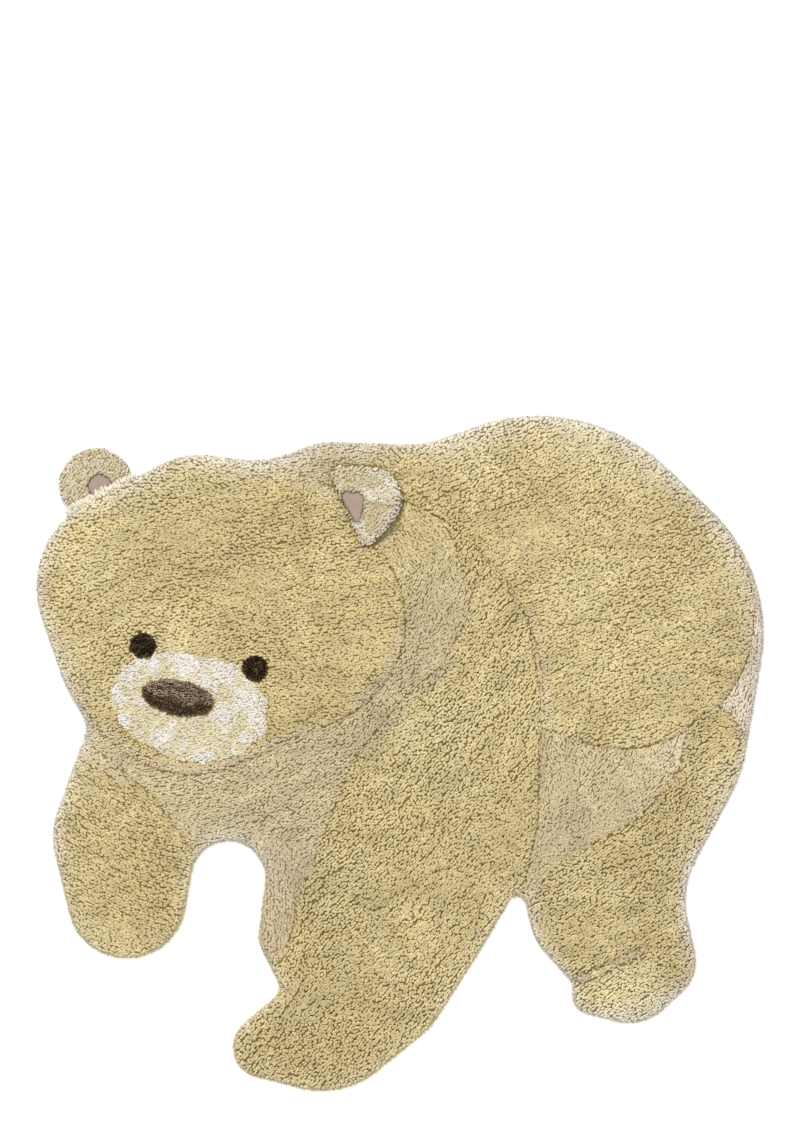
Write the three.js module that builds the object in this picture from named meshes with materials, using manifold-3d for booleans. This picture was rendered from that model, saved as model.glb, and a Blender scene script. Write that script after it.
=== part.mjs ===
// A washable cotton rug, tufted and cut to the outline of a walking bear, lying flat. Millimetres, +Z up.
// The origin is on the floor, under the middle of the rug. The bear walks towards -X, and +Y is towards its back.
// The tufted body is one solid with a rounded rim and a pile that steps down in the shaded fields. The two
// ears are sewn on, each with a smooth cotton lining, and the eyes and the two-tone nose are dense inlays.
import * as THREE from "three";
import { mergeVertices } from "three/addons/utils/BufferGeometryUtils.js";
import { ImprovedNoise } from "three/addons/math/ImprovedNoise.js";
import Module from "manifold-3d";

const wasm = await Module();
wasm.setup();

// Thicknesses and clearances of the cloth.
const PILE = 16; // backing and long pile together
const SHADED_PILE = 12; // the same where the pile is clipped short
const RIM_WALL = 6; // height of the nearly upright edge of the backing and first tufts
const RIM_ROUND = 18; // how far in from the edge the pile rounds over
const STEP = 14; // width of the slope between long and short pile
const LUMP = 0.9; // how far the pile swells and sinks
const LUMP_LENGTH = 90; // from one swelling to the next
const SEAM_GAP = 0.3; // between pieces that meet
const SEAT = 9; // height of the seats for the inlays
const NEAR_EAR_SEAT = 10;
const NEAR_EAR_THICK = 12;
const FAR_EAR_THICK = 13;
const LINING_THICK = 1.6;
const LINING_DEPTH = 5; // how far the lining lies below the pile of its ear
const NOSE_PROUD = 3; // how far the nose stands above the long pile
const EYE_PROUD = 0.8;

// The outline is a belt round pulleys, counterclockwise. An OUT pulley lies inside and rounds a bulge, and
// an IN pulley lies outside and rounds a hollow.
const OUT = 1;
const IN = -1;
const BODY_OUTLINE = [
  { place: "brow", x: -515, y: 320, r: 185, turn: OUT },
  { place: "cheek", x: -440, y: 225, r: 225, turn: OUT },
  { place: "throat", x: -655, y: 48, r: 50, turn: IN },
  { place: "lifted foreleg", x: -520, y: -160, r: 148, turn: OUT },
  { place: "lifted paw", x: -525, y: -280, r: 115, turn: OUT },
  { place: "arch of the chest", x: -330, y: -240, r: 70, turn: IN },
  { place: "far foot", x: -235, y: -355, r: 38, turn: OUT },
  { place: "nick between the forefeet", x: -258, y: -450, r: 25, turn: IN },
  { place: "near toe", x: -262, y: -565, r: 60, turn: OUT },
  { place: "near foot", x: -150, y: -480, r: 170, turn: OUT },
  { place: "heel of the near foot", x: -60, y: -420, r: 160, turn: OUT },
  { place: "back of the near foreleg", x: -110, y: -200, r: 320, turn: OUT },
  { place: "gap before the hind leg", x: 225, y: -292, r: 16, turn: IN },
  { place: "hind shin", x: 370, y: -300, r: 124, turn: OUT },
  { place: "nick above the hind toe", x: 318, y: -446, r: 12, turn: IN },
  { place: "hind toe", x: 365, y: -468, r: 34, turn: OUT },
  { place: "hind foot", x: 440, y: -420, r: 100, turn: OUT },
  { place: "hind heel", x: 490, y: -400, r: 80, turn: OUT },
  { place: "hollow of the ankle", x: 715, y: -285, r: 165, turn: IN },
  { place: "thigh", x: 390, y: 50, r: 280, turn: OUT },
  { place: "rump", x: 370, y: 230, r: 330, turn: OUT },
  { place: "back", x: 265, y: 290, r: 360, turn: OUT },
  { place: "dip of the back", x: 15, y: 785, r: 190, turn: IN },
  { place: "shoulder hump", x: -125, y: 440, r: 160, turn: OUT },
  { place: "nape", x: -285, y: 752, r: 187, turn: IN },
  { place: "crown", x: -385, y: 410, r: 165, turn: OUT },
];

// Ears and their linings are belts too. The near ear has one straight side, where it is sewn down.
const FAR_EAR = [{ place: "disc", x: -584, y: 516, r: 72, turn: OUT }];
const FAR_LINING = [{ place: "disc", x: -577, y: 514, r: 22, turn: OUT }];
const NEAR_EAR = [
  { place: "upper end of the seam", x: -112, y: 532, r: 20, turn: OUT },
  { place: "lower end of the seam", x: -64, y: 416, r: 16, turn: OUT },
  { place: "free edge", x: -57, y: 488, r: 62, turn: OUT },
];
const NEAR_LINING = [
  { place: "upper end", x: -101, y: 494, r: 10, turn: OUT },
  { place: "lower end", x: -82, y: 450, r: 6, turn: OUT },
  { place: "bulge", x: -84, y: 487, r: 14, turn: OUT },
];

// The face is laid out about the middle of the muzzle and turned as a whole.
const FACE = { x: -405, y: 90, turn: -0.2 };
const EYE = { apart: 110, above: 97, r: 25 };
const NOSE = { left: 24, above: 12, halfLength: 70, halfHeight: 33 };
const BRIDGE = { left: 22, above: 38, halfLength: 90, halfHeight: 36 };
const MUZZLE = { halfLength: 154, halfHeight: 104, pile: 14.5 };

// Each raised field of long pile is the sweep of a disc along a chain of discs.
const FIELDS = [
  {
    name: "head",
    chain: [
      { x: -480, y: 310, r: 235 },
      { x: -370, y: 390, r: 195 },
      { x: -215, y: 365, r: 170 },
      { x: -195, y: 255, r: 205 },
      { x: -400, y: 185, r: 225 },
      { x: -480, y: 310, r: 235 },
    ],
  },
  {
    name: "near foreleg",
    chain: [
      { x: 105, y: 430, r: 12 },
      { x: 170, y: 310, r: 32 },
      { x: 188, y: 236, r: 62 },
      { x: 163, y: 100, r: 107 },
      { x: 115, y: 0, r: 152 },
      { x: 75, y: -110, r: 190 },
      { x: -50, y: -320, r: 150 },
      { x: -130, y: -440, r: 100 },
      { x: -185, y: -565, r: 150 },
      { x: -60, y: -500, r: 170 },
      { x: 60, y: -330, r: 160 },
      { x: 75, y: -110, r: 190 },
    ],
  },
  {
    name: "lifted foreleg",
    chain: [
      { x: -620, y: -20, r: 45 },
      { x: -560, y: -160, r: 115 },
      { x: -510, y: -290, r: 150 },
    ],
  },
  {
    name: "trunk",
    chain: [
      { x: 110, y: 520, r: 120 },
      { x: 270, y: 395, r: 260 },
      { x: 350, y: 330, r: 290 },
      { x: 425, y: 265, r: 255 },
    ],
    hollow: { x: -135, y: 100, r: 410 },
  },
  {
    name: "hind leg",
    chain: [
      { x: 600, y: 40, r: 50 },
      { x: 618, y: -60, r: 85 },
      { x: 565, y: -180, r: 115 },
      { x: 545, y: -260, r: 160 },
      { x: 400, y: -330, r: 150 },
      { x: 400, y: -430, r: 150 },
      { x: 520, y: -420, r: 150 },
      { x: 545, y: -260, r: 160 },
    ],
  },
];
const TOE_CREASE = [
  { x: 350, y: -434, r: 8 },
  { x: 470, y: -376, r: 8 },
];

// Spacings of the mesh.
const RIM_STEP = 10;
const FINE_STEP = 15; // across the slopes
const COARSE_STEP = 38; // on the open pile
const SMALL_RIM_STEP = 4; // round the ears and inlays
const LINING_STEP = 1.5; // round the linings, whose corners are tight
const SMALL_STEP = 11; // on top of them

const noise = new ImprovedNoise();
const smooth = THREE.MathUtils.smoothstep;

// The path of a belt round its pulleys. The straight runs are the common tangents of each two neighbours.
function beltPath(pulleys) {
  const path = new THREE.Path();
  if (pulleys.length === 1) {
    const { x, y, r } = pulleys[0];
    return path.absarc(x, y, r, 0, 2 * Math.PI, false);
  }
  const heading = pulleys.map((a, i) => {
    const b = pulleys[(i + 1) % pulleys.length];
    const slant = Math.asin((a.turn * a.r - b.turn * b.r) / Math.hypot(b.x - a.x, b.y - a.y));
    return Math.atan2(b.y - a.y, b.x - a.x) + slant;
  });
  pulleys.forEach(({ x, y, r, turn }, i) => {
    const quarter = (turn * Math.PI) / 2;
    const came = heading[(i + pulleys.length - 1) % pulleys.length];
    path.absarc(x, y, r, came - quarter, heading[i] - quarter, turn === IN);
  });
  return path.closePath();
}

// The same belt, moved outwards by a margin.
function grown(pulleys, margin) {
  return pulleys.map((p) => ({ ...p, r: p.r + p.turn * margin }));
}

// Points of a closed path, evenly spaced.
function pathPoints(path, step) {
  const count = Math.max(12, Math.round(path.getLength() / step));
  return path.getSpacedPoints(count).slice(0, count);
}

// The path of an ellipse that lies in the face's own axes.
function facePath({ left = 0, above = 0, halfLength, halfHeight }, margin = 0) {
  const middle = faceToRug(-left, above);
  const [a, b] = [halfLength + margin, halfHeight + margin];
  return new THREE.Path().absellipse(middle.x, middle.y, a, b, 0, 2 * Math.PI, false, FACE.turn);
}

function faceToRug(x, y) {
  return new THREE.Vector2(x, y).rotateAround(new THREE.Vector2(), FACE.turn).add(FACE);
}

// Distance from a point to a closed polygon, negative inside.
function signedDistance(x, y, polygon) {
  let nearest = Infinity;
  let inside = false;
  polygon.forEach((a, i) => {
    const b = polygon[(i + 1) % polygon.length];
    const [dx, dy] = [b.x - a.x, b.y - a.y];
    const along = ((x - a.x) * dx + (y - a.y) * dy) / (dx * dx + dy * dy);
    const t = THREE.MathUtils.clamp(along, 0, 1);
    nearest = Math.min(nearest, Math.hypot(x - a.x - t * dx, y - a.y - t * dy));
    if (a.y > y !== b.y > y && x < a.x + ((y - a.y) * dx) / dy) inside = !inside;
  });
  return inside ? -nearest : nearest;
}

// Distance to the sweep of a disc from one end of a chain to the other, negative inside.
function chainDistance(x, y, chain) {
  let nearest = Infinity;
  for (let i = 1; i < chain.length; i++) {
    const [a, b] = [chain[i - 1], chain[i]];
    const length = Math.hypot(b.x - a.x, b.y - a.y);
    const [ux, uy] = [(b.x - a.x) / length, (b.y - a.y) / length];
    const along = (x - a.x) * ux + (y - a.y) * uy;
    const aside = Math.abs((x - a.x) * uy - (y - a.y) * ux);
    const taper = (b.r - a.r) / length;
    const t = THREE.MathUtils.clamp((along + aside * taper) / length, 0, 1);
    nearest = Math.min(nearest, Math.hypot(along - t * length, aside) - (a.r + t * (b.r - a.r)));
  }
  return nearest;
}

function fieldDistance(x, y, { chain, hollow }) {
  const inside = chainDistance(x, y, chain);
  return hollow ? Math.max(inside, hollow.r - Math.hypot(x - hollow.x, y - hollow.y)) : inside;
}

function muzzleDistance(x, y) {
  const at = new THREE.Vector2(x - FACE.x, y - FACE.y).rotateAround(new THREE.Vector2(), -FACE.turn);
  const share = Math.hypot(at.x / MUZZLE.halfLength, at.y / MUZZLE.halfHeight);
  return (share - 1) * MUZZLE.halfHeight;
}

const bodyRim = pathPoints(beltPath(BODY_OUTLINE), RIM_STEP);

// Height of the rug's pile away from its rim.
function pileHeight(x, y) {
  let z = SHADED_PILE;
  for (const field of FIELDS) {
    const share = smooth(-fieldDistance(x, y, field), -STEP / 2, STEP / 2);
    z = Math.max(z, THREE.MathUtils.lerp(SHADED_PILE, PILE, share));
  }
  const crease = smooth(-chainDistance(x, y, TOE_CREASE), -STEP / 2, STEP / 2);
  z = THREE.MathUtils.lerp(z, SHADED_PILE, crease);
  z = THREE.MathUtils.lerp(z, MUZZLE.pile, smooth(-muzzleDistance(x, y), -STEP / 2, STEP / 2));
  return z + LUMP * noise.noise(x / LUMP_LENGTH, y / LUMP_LENGTH, 0.5);
}

// How near a point is to a slope of the pile.
function slopeDistance(x, y) {
  const borders = FIELDS.map((field) => Math.abs(fieldDistance(x, y, field)));
  return Math.min(...borders, Math.abs(muzzleDistance(x, y)), Math.abs(chainDistance(x, y, TOE_CREASE)));
}

// Triangles over scattered points, by inserting them one by one (Bowyer and Watson).
function delaunay(points) {
  const far = 1e5;
  const nudge = (i, rate) => 0.01 * Math.sin(i * rate); // so that no three points are quite in line
  const nudged = points.map((p, i) => ({ x: p.x + nudge(i, 12.9898), y: p.y + nudge(i, 78.233) }));
  const all = [...nudged, { x: -far, y: -far }, { x: far, y: -far }, { x: 0, y: far }];
  const circle = (a, b, c) => {
    const [p, q, s] = [all[a], all[b], all[c]];
    const [bx, by, cx, cy] = [q.x - p.x, q.y - p.y, s.x - p.x, s.y - p.y];
    const cross = 2 * (bx * cy - by * cx);
    const ux = (cy * (bx * bx + by * by) - by * (cx * cx + cy * cy)) / cross;
    const uy = (bx * (cx * cx + cy * cy) - cx * (bx * bx + by * by)) / cross;
    return { a, b, c, x: p.x + ux, y: p.y + uy, rr: ux * ux + uy * uy };
  };
  let triangles = [circle(points.length, points.length + 1, points.length + 2)];
  nudged.forEach((p, i) => {
    const edges = new Map();
    triangles = triangles.filter((t) => {
      if ((p.x - t.x) ** 2 + (p.y - t.y) ** 2 >= t.rr) return true;
      for (const [from, to] of [[t.a, t.b], [t.b, t.c], [t.c, t.a]]) {
        if (!edges.delete(`${to} ${from}`)) edges.set(`${from} ${to}`, [from, to]);
      }
      return false;
    });
    for (const [from, to] of edges.values()) triangles.push(circle(from, to, i));
  });
  return triangles.filter((t) => Math.max(t.a, t.b, t.c) < points.length);
}

// Points inside a rim, no closer to each other than spacing says, tried in rows from the bottom up.
function scatter(rim, finest, margin, spacing) {
  const box = new THREE.Box2().setFromPoints(rim);
  const kept = [];
  const rowStep = finest / 2;
  for (let row = 0, y = box.min.y; y < box.max.y; row++, y += rowStep) {
    for (let x = box.min.x + (row % 2) * rowStep * 0.5; x < box.max.x; x += rowStep) {
      const jog = 0.2 * finest * noise.noise(x * 0.37, y * 0.37, 1.5);
      const p = new THREE.Vector2(x + jog, y - jog);
      const room = spacing(p.x, p.y);
      if (kept.some((q) => Math.abs(q.y - p.y) < room && q.distanceTo(p) < room)) continue;
      if (signedDistance(p.x, p.y, rim) < -margin) kept.push(p);
    }
  }
  return kept;
}

// A closed pad over a rim: flat below at floorZ, upright at the edge, and topped at the heights that top gives.
function padGeometry(rim, floorZ, top, inner) {
  const points = [...rim, ...inner];
  const flat = [];
  for (const p of points) flat.push(p.x, p.y, top(p.x, p.y));
  for (const p of rim) flat.push(p.x, p.y, floorZ);
  const index = [];
  for (const { a, b, c } of delaunay(points)) {
    const x = (points[a].x + points[b].x + points[c].x) / 3;
    const y = (points[a].y + points[b].y + points[c].y) / 3;
    if (signedDistance(x, y, rim) < -0.02) index.push(a, b, c);
  }
  rim.forEach((_, i) => {
    const next = (i + 1) % rim.length;
    const [below, belowNext] = [points.length + i, points.length + next];
    index.push(i, below, next, next, below, belowNext);
  });
  for (const [a, b, c] of THREE.ShapeUtils.triangulateShape(rim, [])) {
    index.push(points.length + a, points.length + c, points.length + b);
  }
  const geometry = new THREE.BufferGeometry();
  geometry.setAttribute("position", new THREE.Float32BufferAttribute(flat, 3));
  return geometry.setIndex(index);
}

// A row of points that follows the rim, a little inside it.
function innerRow(rim, inset) {
  return rim
    .map((p, i) => {
      const [before, after] = [rim[(i + rim.length - 1) % rim.length], rim[(i + 1) % rim.length]];
      const way = new THREE.Vector2().subVectors(after, before).normalize();
      return new THREE.Vector2(p.x - way.y * inset, p.y + way.x * inset);
    })
    .filter((p) => signedDistance(p.x, p.y, rim) < -0.9 * inset);
}

// Rounds a height over towards a rim.
function roundOver(z, wallZ, depth, reach) {
  const share = 1 - THREE.MathUtils.clamp(depth / reach, 0, 1);
  return wallZ + (z - wallZ) * Math.sqrt(1 - share * share);
}

// A small pad, such as an ear or an inlay, with a rounded rim.
function smallPad(path, floorZ, topZ, reach) {
  const rim = pathPoints(path, SMALL_RIM_STEP);
  const inner = [...innerRow(rim, reach / 3), ...scatter(rim, SMALL_STEP, reach * 0.7, () => SMALL_STEP)];
  const wallZ = floorZ + (topZ - floorZ) * 0.45;
  const top = (x, y) => roundOver(topZ, wallZ, -Math.min(0, signedDistance(x, y, rim)), reach);
  return solidOf(padGeometry(rim, floorZ, top, inner));
}

// An upright prism over a path, between two heights.
function prism(path, lowZ, highZ, step = SMALL_RIM_STEP) {
  const shape = new THREE.Shape(pathPoints(path, step));
  const geometry = new THREE.ExtrudeGeometry(shape, { depth: highZ - lowZ, bevelEnabled: false });
  return solidOf(geometry.translate(0, 0, lowZ));
}

function solidOf(geometry) {
  const plain = geometry.clone();
  for (const name of ["normal", "uv"]) plain.deleteAttribute(name);
  const { index, attributes } = mergeVertices(plain, 1e-4);
  const triVerts = new Uint32Array(index.array);
  return new wasm.Manifold(new wasm.Mesh({ numProp: 3, vertProperties: attributes.position.array, triVerts }));
}

function geometryOf(solid) {
  const { numProp, numVert, vertProperties, triVerts } = solid.getMesh();
  const position = new Float32Array(numVert * 3);
  for (let i = 0; i < numVert; i++) {
    position.set(vertProperties.subarray(i * numProp, i * numProp + 3), i * 3);
  }
  const geometry = new THREE.BufferGeometry();
  geometry.setAttribute("position", new THREE.BufferAttribute(position, 3));
  geometry.setIndex(new THREE.BufferAttribute(triVerts, 1));
  geometry.computeVertexNormals();
  return geometry;
}

// Paths of the inlays, at their own size or with a margin round them.
function eyePath(side, margin = 0) {
  const middle = faceToRug(side * EYE.apart, EYE.above);
  return new THREE.Path().absarc(middle.x, middle.y, EYE.r + margin, 0, 2 * Math.PI, false);
}

function nosePath(margin = 0) {
  return facePath(NOSE, margin);
}

// The tufted body, with a seat for each inlay and for the near ear.
function rugBody() {
  const top = (x, y) => roundOver(pileHeight(x, y), RIM_WALL, -Math.min(0, signedDistance(x, y, bodyRim)), RIM_ROUND);
  const rows = [...innerRow(bodyRim, RIM_ROUND / 4), ...innerRow(bodyRim, RIM_ROUND)];
  const spacing = (x, y) => {
    const near = slopeDistance(x, y);
    return THREE.MathUtils.mapLinear(THREE.MathUtils.clamp(near, STEP, 5 * STEP), STEP, 5 * STEP, FINE_STEP, COARSE_STEP);
  };
  const inner = [...rows, ...scatter(bodyRim, FINE_STEP, RIM_ROUND + 8, spacing)];
  let body = solidOf(padGeometry(bodyRim, 0, top, inner));
  const high = 3 * PILE;
  body = body.subtract(prism(nosePath(SEAM_GAP), SEAT - SEAM_GAP, high));
  for (const side of [-1, 1]) body = body.subtract(prism(eyePath(side, SEAM_GAP), SEAT - SEAM_GAP, high));
  const earSeat = prism(beltPath(grown(NEAR_EAR, SEAM_GAP)), NEAR_EAR_SEAT - SEAM_GAP, high);
  return body.subtract(earSeat);
}

// An ear of pile with a smooth lining at the bottom of a recess. Both stop short of the head where cutter is given.
function ear(outline, lining, floorZ, thick, cutter) {
  const topZ = floorZ + thick;
  const liningZ = topZ - LINING_DEPTH - LINING_THICK;
  let pile = smallPad(beltPath(outline), floorZ, topZ, RIM_ROUND);
  pile = pile.subtract(prism(beltPath(grown(lining, SEAM_GAP)), liningZ - SEAM_GAP, topZ + PILE, LINING_STEP));
  let cloth = prism(beltPath(lining), liningZ, liningZ + LINING_THICK, LINING_STEP);
  if (cutter) [pile, cloth] = [pile.subtract(cutter), cloth.subtract(cutter)];
  return { pile, cloth };
}

// The nose is one oval in two tones: the bridge above, and the underside below it.
function nose() {
  const whole = smallPad(nosePath(), SEAT, PILE + NOSE_PROUD, RIM_ROUND / 2);
  const bridge = whole.intersect(prism(facePath(BRIDGE), 0, 3 * PILE));
  const underside = whole.subtract(prism(facePath(BRIDGE, SEAM_GAP), 0, 3 * PILE));
  return { bridge, underside };
}

function eye(side) {
  return smallPad(eyePath(side), SEAT, PILE + EYE_PROUD, RIM_ROUND / 2);
}

// Yarns and cloths.
const finish = (color, roughness) => new THREE.MeshStandardMaterial({ color, roughness, metalness: 0 });
const OCHRE_PILE = finish(0xd0bd8e, 0.95);
const CREAM_PILE = finish(0xddd0b0, 0.95);
const LINING_COTTON = finish(0xb39a8a, 0.85);
const BROWN_PILE = finish(0x7a6856, 0.95);
const DARK_PILE = finish(0x33291f, 0.95);

const rug = new THREE.Group();

function add(name, solid, material) {
  const mesh = new THREE.Mesh(geometryOf(solid), material);
  mesh.name = name;
  rug.add(mesh);
}

add("rug_body", rugBody(), OCHRE_PILE);

const headCutter = prism(beltPath(grown(BODY_OUTLINE, SEAM_GAP)), -PILE, 3 * PILE, RIM_STEP / 3);
const farEar = ear(FAR_EAR, FAR_LINING, 0, FAR_EAR_THICK, headCutter);
add("far_ear", farEar.pile, CREAM_PILE);
add("far_ear_lining", farEar.cloth, LINING_COTTON);

const nearEar = ear(NEAR_EAR, NEAR_LINING, NEAR_EAR_SEAT, NEAR_EAR_THICK);
add("near_ear", nearEar.pile, CREAM_PILE);
add("near_ear_lining", nearEar.cloth, LINING_COTTON);

const { bridge, underside } = nose();
add("nose_bridge", bridge, BROWN_PILE);
add("nose_underside", underside, DARK_PILE);
add("left_eye", eye(-1), DARK_PILE);
add("right_eye", eye(1), DARK_PILE);

export default rug;
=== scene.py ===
"""A washable cotton rug, tufted and cut to the outline of a walking bear, lying flat on a pale floor.

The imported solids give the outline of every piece. Over them this script lays what the real rug is made of:
a woven canvas, rows of cut cotton tufts in fields that each lean their own way, two sewn-on ears with
a smooth lining and an overlocked edge, and the short dense pile of the eyes and the nose.
All lengths are in metres unless a name says mm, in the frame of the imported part.
"""

import logging
import math
from collections.abc import Callable
from dataclasses import dataclass, field
from enum import Enum

import bpy
import numpy as np
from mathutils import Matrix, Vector


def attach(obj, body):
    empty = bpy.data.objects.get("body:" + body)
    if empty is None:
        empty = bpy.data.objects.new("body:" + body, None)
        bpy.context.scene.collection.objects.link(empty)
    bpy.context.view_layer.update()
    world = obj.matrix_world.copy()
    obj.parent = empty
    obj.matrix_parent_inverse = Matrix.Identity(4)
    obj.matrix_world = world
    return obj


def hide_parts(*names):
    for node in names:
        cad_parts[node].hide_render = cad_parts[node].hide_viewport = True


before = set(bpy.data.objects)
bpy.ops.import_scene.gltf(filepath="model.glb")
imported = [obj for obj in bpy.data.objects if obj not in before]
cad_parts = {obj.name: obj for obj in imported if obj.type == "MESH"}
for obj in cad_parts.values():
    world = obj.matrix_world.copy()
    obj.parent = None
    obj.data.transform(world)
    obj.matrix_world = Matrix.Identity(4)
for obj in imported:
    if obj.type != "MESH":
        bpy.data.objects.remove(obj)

logging.basicConfig(level=logging.INFO, format="%(message)s")
LOG = logging.getLogger("rug")

MM = 0.001
BAKE_MAP = "OFBake"
YARN_MAP = "Yarn"
# Packed yarn at this height share is darkened by the pile material's painted shade.
PACKED_HEIGHT = 0.2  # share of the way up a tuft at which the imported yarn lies

Points = np.ndarray
Polygon = np.ndarray


class Dye(Enum):
    """Colours of the cotton yarns and cloths, as sRGB hex values."""

    OCHRE = "#dac894"
    OCHRE_DEEP = "#cfbb86"
    STRAW = "#e5d6a5"
    NECK = "#d1c19a"
    NECK_TOP = "#d9c894"
    CHEST = "#d9caa3"
    NAPE = "#d8c8a3"
    BELLY = "#d8c7a0"
    FAR_LEG = "#ccbb9b"
    RUMP_RIM = "#e8dac6"
    CHIN = "#d7c6a7"
    PALE_STRAW = "#f0e1b2"
    TOE = "#cbb792"
    RIM_CREAM = "#efe9de"
    EAR = "#d5caad"
    EAR_WARM = "#cebe98"
    MUZZLE_WHITE = "#eee9e2"
    MUZZLE_STRAW = "#e3d9b8"
    BROWN = "#a9937f"
    BROWN_DEEP = "#66533f"
    DARK = "#322416"
    DARK_WARM = "#4d3d2a"
    NOSE_UNDER = "#6d5a42"
    NOSE_UNDER_DEEP = "#4e3e2c"
    LINING = "#b39b8c"
    THREAD = "#ece2de"
    CANVAS = "#d8cdb2"
    FLOOR = "#ffffff"


def linear(dye: "Dye | str") -> np.ndarray:
    """Turns an sRGB hex colour to linear light.

    Args:
        dye: A yarn colour or a hex value such as "#d9c391".

    Returns:
        The three linear channels.
    """
    text = (dye.value if isinstance(dye, Dye) else dye).lstrip("#")
    srgb = np.array([int(text[i : i + 2], 16) / 255 for i in (0, 2, 4)])
    return np.where(srgb <= 0.04045, srgb / 12.92, ((srgb + 0.055) / 1.055) ** 2.4)


def rgba(dye: "Dye | str") -> tuple[float, float, float, float]:
    """Gives a colour as the four linear channels that a socket takes."""
    return (*[float(c) for c in linear(dye)], 1.0)


# ---------------------------------------------------------------- plane geometry


def smoothstep(value: np.ndarray, low: float, high: float) -> np.ndarray:
    """Rises smoothly from 0 at low to 1 at high."""
    share = np.clip((value - low) / (high - low), 0, 1)
    return share * share * (3 - 2 * share)


def mixed(one: np.ndarray, other: np.ndarray, share: np.ndarray) -> np.ndarray:
    """Goes from one value to another by a share between 0 and 1."""
    return one * (1 - share) + other * share


def unit(ways: np.ndarray) -> np.ndarray:
    """Brings each row to length 1."""
    return ways / np.linalg.norm(ways, axis=1)[:, None]


def cos_sin(deg: float) -> tuple[float, float]:
    """Gives the cosine and the sine of an angle in degrees."""
    return math.cos(math.radians(deg)), math.sin(math.radians(deg))


class SmoothNoise:
    """Seeded value noise over the plane, the same on every run."""

    SIDE = 256  # places along each side of the lattice, after which it repeats
    OFFSET = 91.7  # cells from the lattice's corner to the rug's middle

    def __init__(self, seed: int) -> None:
        """Draws the lattice of values between -1 and 1."""
        self.values = np.random.default_rng(seed).uniform(-1, 1, (self.SIDE, self.SIDE))

    def at(self, points: Points, length: float) -> np.ndarray:
        """Reads the noise.

        Args:
            points: Places in the plane, one row each.
            length: Distance from one swelling to the next.

        Returns:
            One value between -1 and 1 for each point.
        """
        cell = points / length + self.OFFSET
        corner = np.floor(cell).astype(int)
        w = cell - corner
        w = w * w * (3 - 2 * w)
        i, j = (corner % self.SIDE).T
        i1, j1 = (i + 1) % self.SIDE, (j + 1) % self.SIDE
        low = mixed(self.values[i, j], self.values[i1, j], w[:, 0])
        high = mixed(self.values[i, j1], self.values[i1, j1], w[:, 0])
        return mixed(low, high, w[:, 1])

    def layered(self, points: Points, length: float) -> np.ndarray:
        """Adds three octaves of the noise."""
        fine, finest = self.at(points, length / 2.1), self.at(points, length / 4.3)
        return (self.at(points, length) + 0.5 * fine + 0.25 * finest) / 1.5


PATCHES = SmoothNoise(3)
GUSTS = SmoothNoise(11)


def rim_distance(points: Points, rim: Polygon) -> tuple[np.ndarray, np.ndarray]:
    """Measures from points to a closed rim.

    Args:
        points: Places in the plane, one row each.
        rim: The rim's corners in order.

    Returns:
        The depth inside the rim, negative outside, and the unit way to the nearest place on the rim.
    """
    a, b = rim, np.roll(rim, -1, axis=0)
    depths, ways = [], []
    for part in np.array_split(points, max(1, len(points) // 3000)):
        rel = part[:, None, :] - a[None]
        run = b - a
        t = np.clip((rel * run).sum(2) / (run * run).sum(1), 0, 1)
        off = rel - t[..., None] * run
        dist = np.hypot(off[..., 0], off[..., 1])
        near = dist.argmin(1)
        rows = np.arange(len(part))
        crosses = (a[:, 1] > part[:, 1:2]) != (b[:, 1] > part[:, 1:2])
        with np.errstate(divide="ignore", invalid="ignore"):
            x = a[:, 0] + (part[:, 1:2] - a[:, 1]) * run[:, 0] / run[:, 1]
        inside = (crosses & (part[:, :1] < x)).sum(1) % 2 == 1
        sign = np.where(inside, 1.0, -1.0)
        gap = dist[rows, near]
        way = -off[rows, near] / np.maximum(gap, 1e-9)[:, None]
        depths.append(sign * gap)
        ways.append(way * sign[:, None])
    return np.concatenate(depths), np.concatenate(ways)


def depth_in(points: Points, rim: Polygon) -> np.ndarray:
    """Depth inside a closed rim, negative outside."""
    return rim_distance(points, rim)[0]


def signed_area(rim: Polygon) -> float:
    """Area inside a rim, positive where it runs counterclockwise."""
    x, y = rim.T
    return (x * np.roll(y, -1) - y * np.roll(x, -1)).sum() / 2


def vertex_places(piece: bpy.types.Object) -> np.ndarray:
    """Reads the places of a mesh's vertices, one row each."""
    return np.array([v.co for v in piece.data.vertices])


def node_rim(name: str) -> Polygon:
    """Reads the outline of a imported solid's flat underside.

    Args:
        name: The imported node.

    Returns:
        The outline's corners in order, counterclockwise.
    """
    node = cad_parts[name]
    co = vertex_places(node)
    low = co[:, 2].min() + 0.01 * MM
    keys: dict[tuple[int, int], int] = {}  # corners less than a thousandth of a millimetre apart are one
    ids = [keys.setdefault((round(x * 1e6), round(y * 1e6)), len(keys)) for x, y, _ in co]
    place = np.zeros((len(keys), 2))
    place[ids] = co[:, :2]
    edges: set[tuple[int, int]] = set()
    for face in node.data.polygons:
        if all(co[v][2] < low for v in face.vertices):
            ring = [ids[v] for v in face.vertices]
            for edge in zip(ring, ring[1:] + ring[:1]):
                if edge[::-1] in edges:
                    edges.remove(edge[::-1])
                else:
                    edges.add(edge)
    after = dict(edges)
    start = next(iter(sorted(after)))
    loop, at = [start], after[start]
    while at != start:
        loop.append(at)
        at = after[at]
    rim = place[loop]
    return rim if signed_area(rim) > 0 else rim[::-1]


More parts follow.
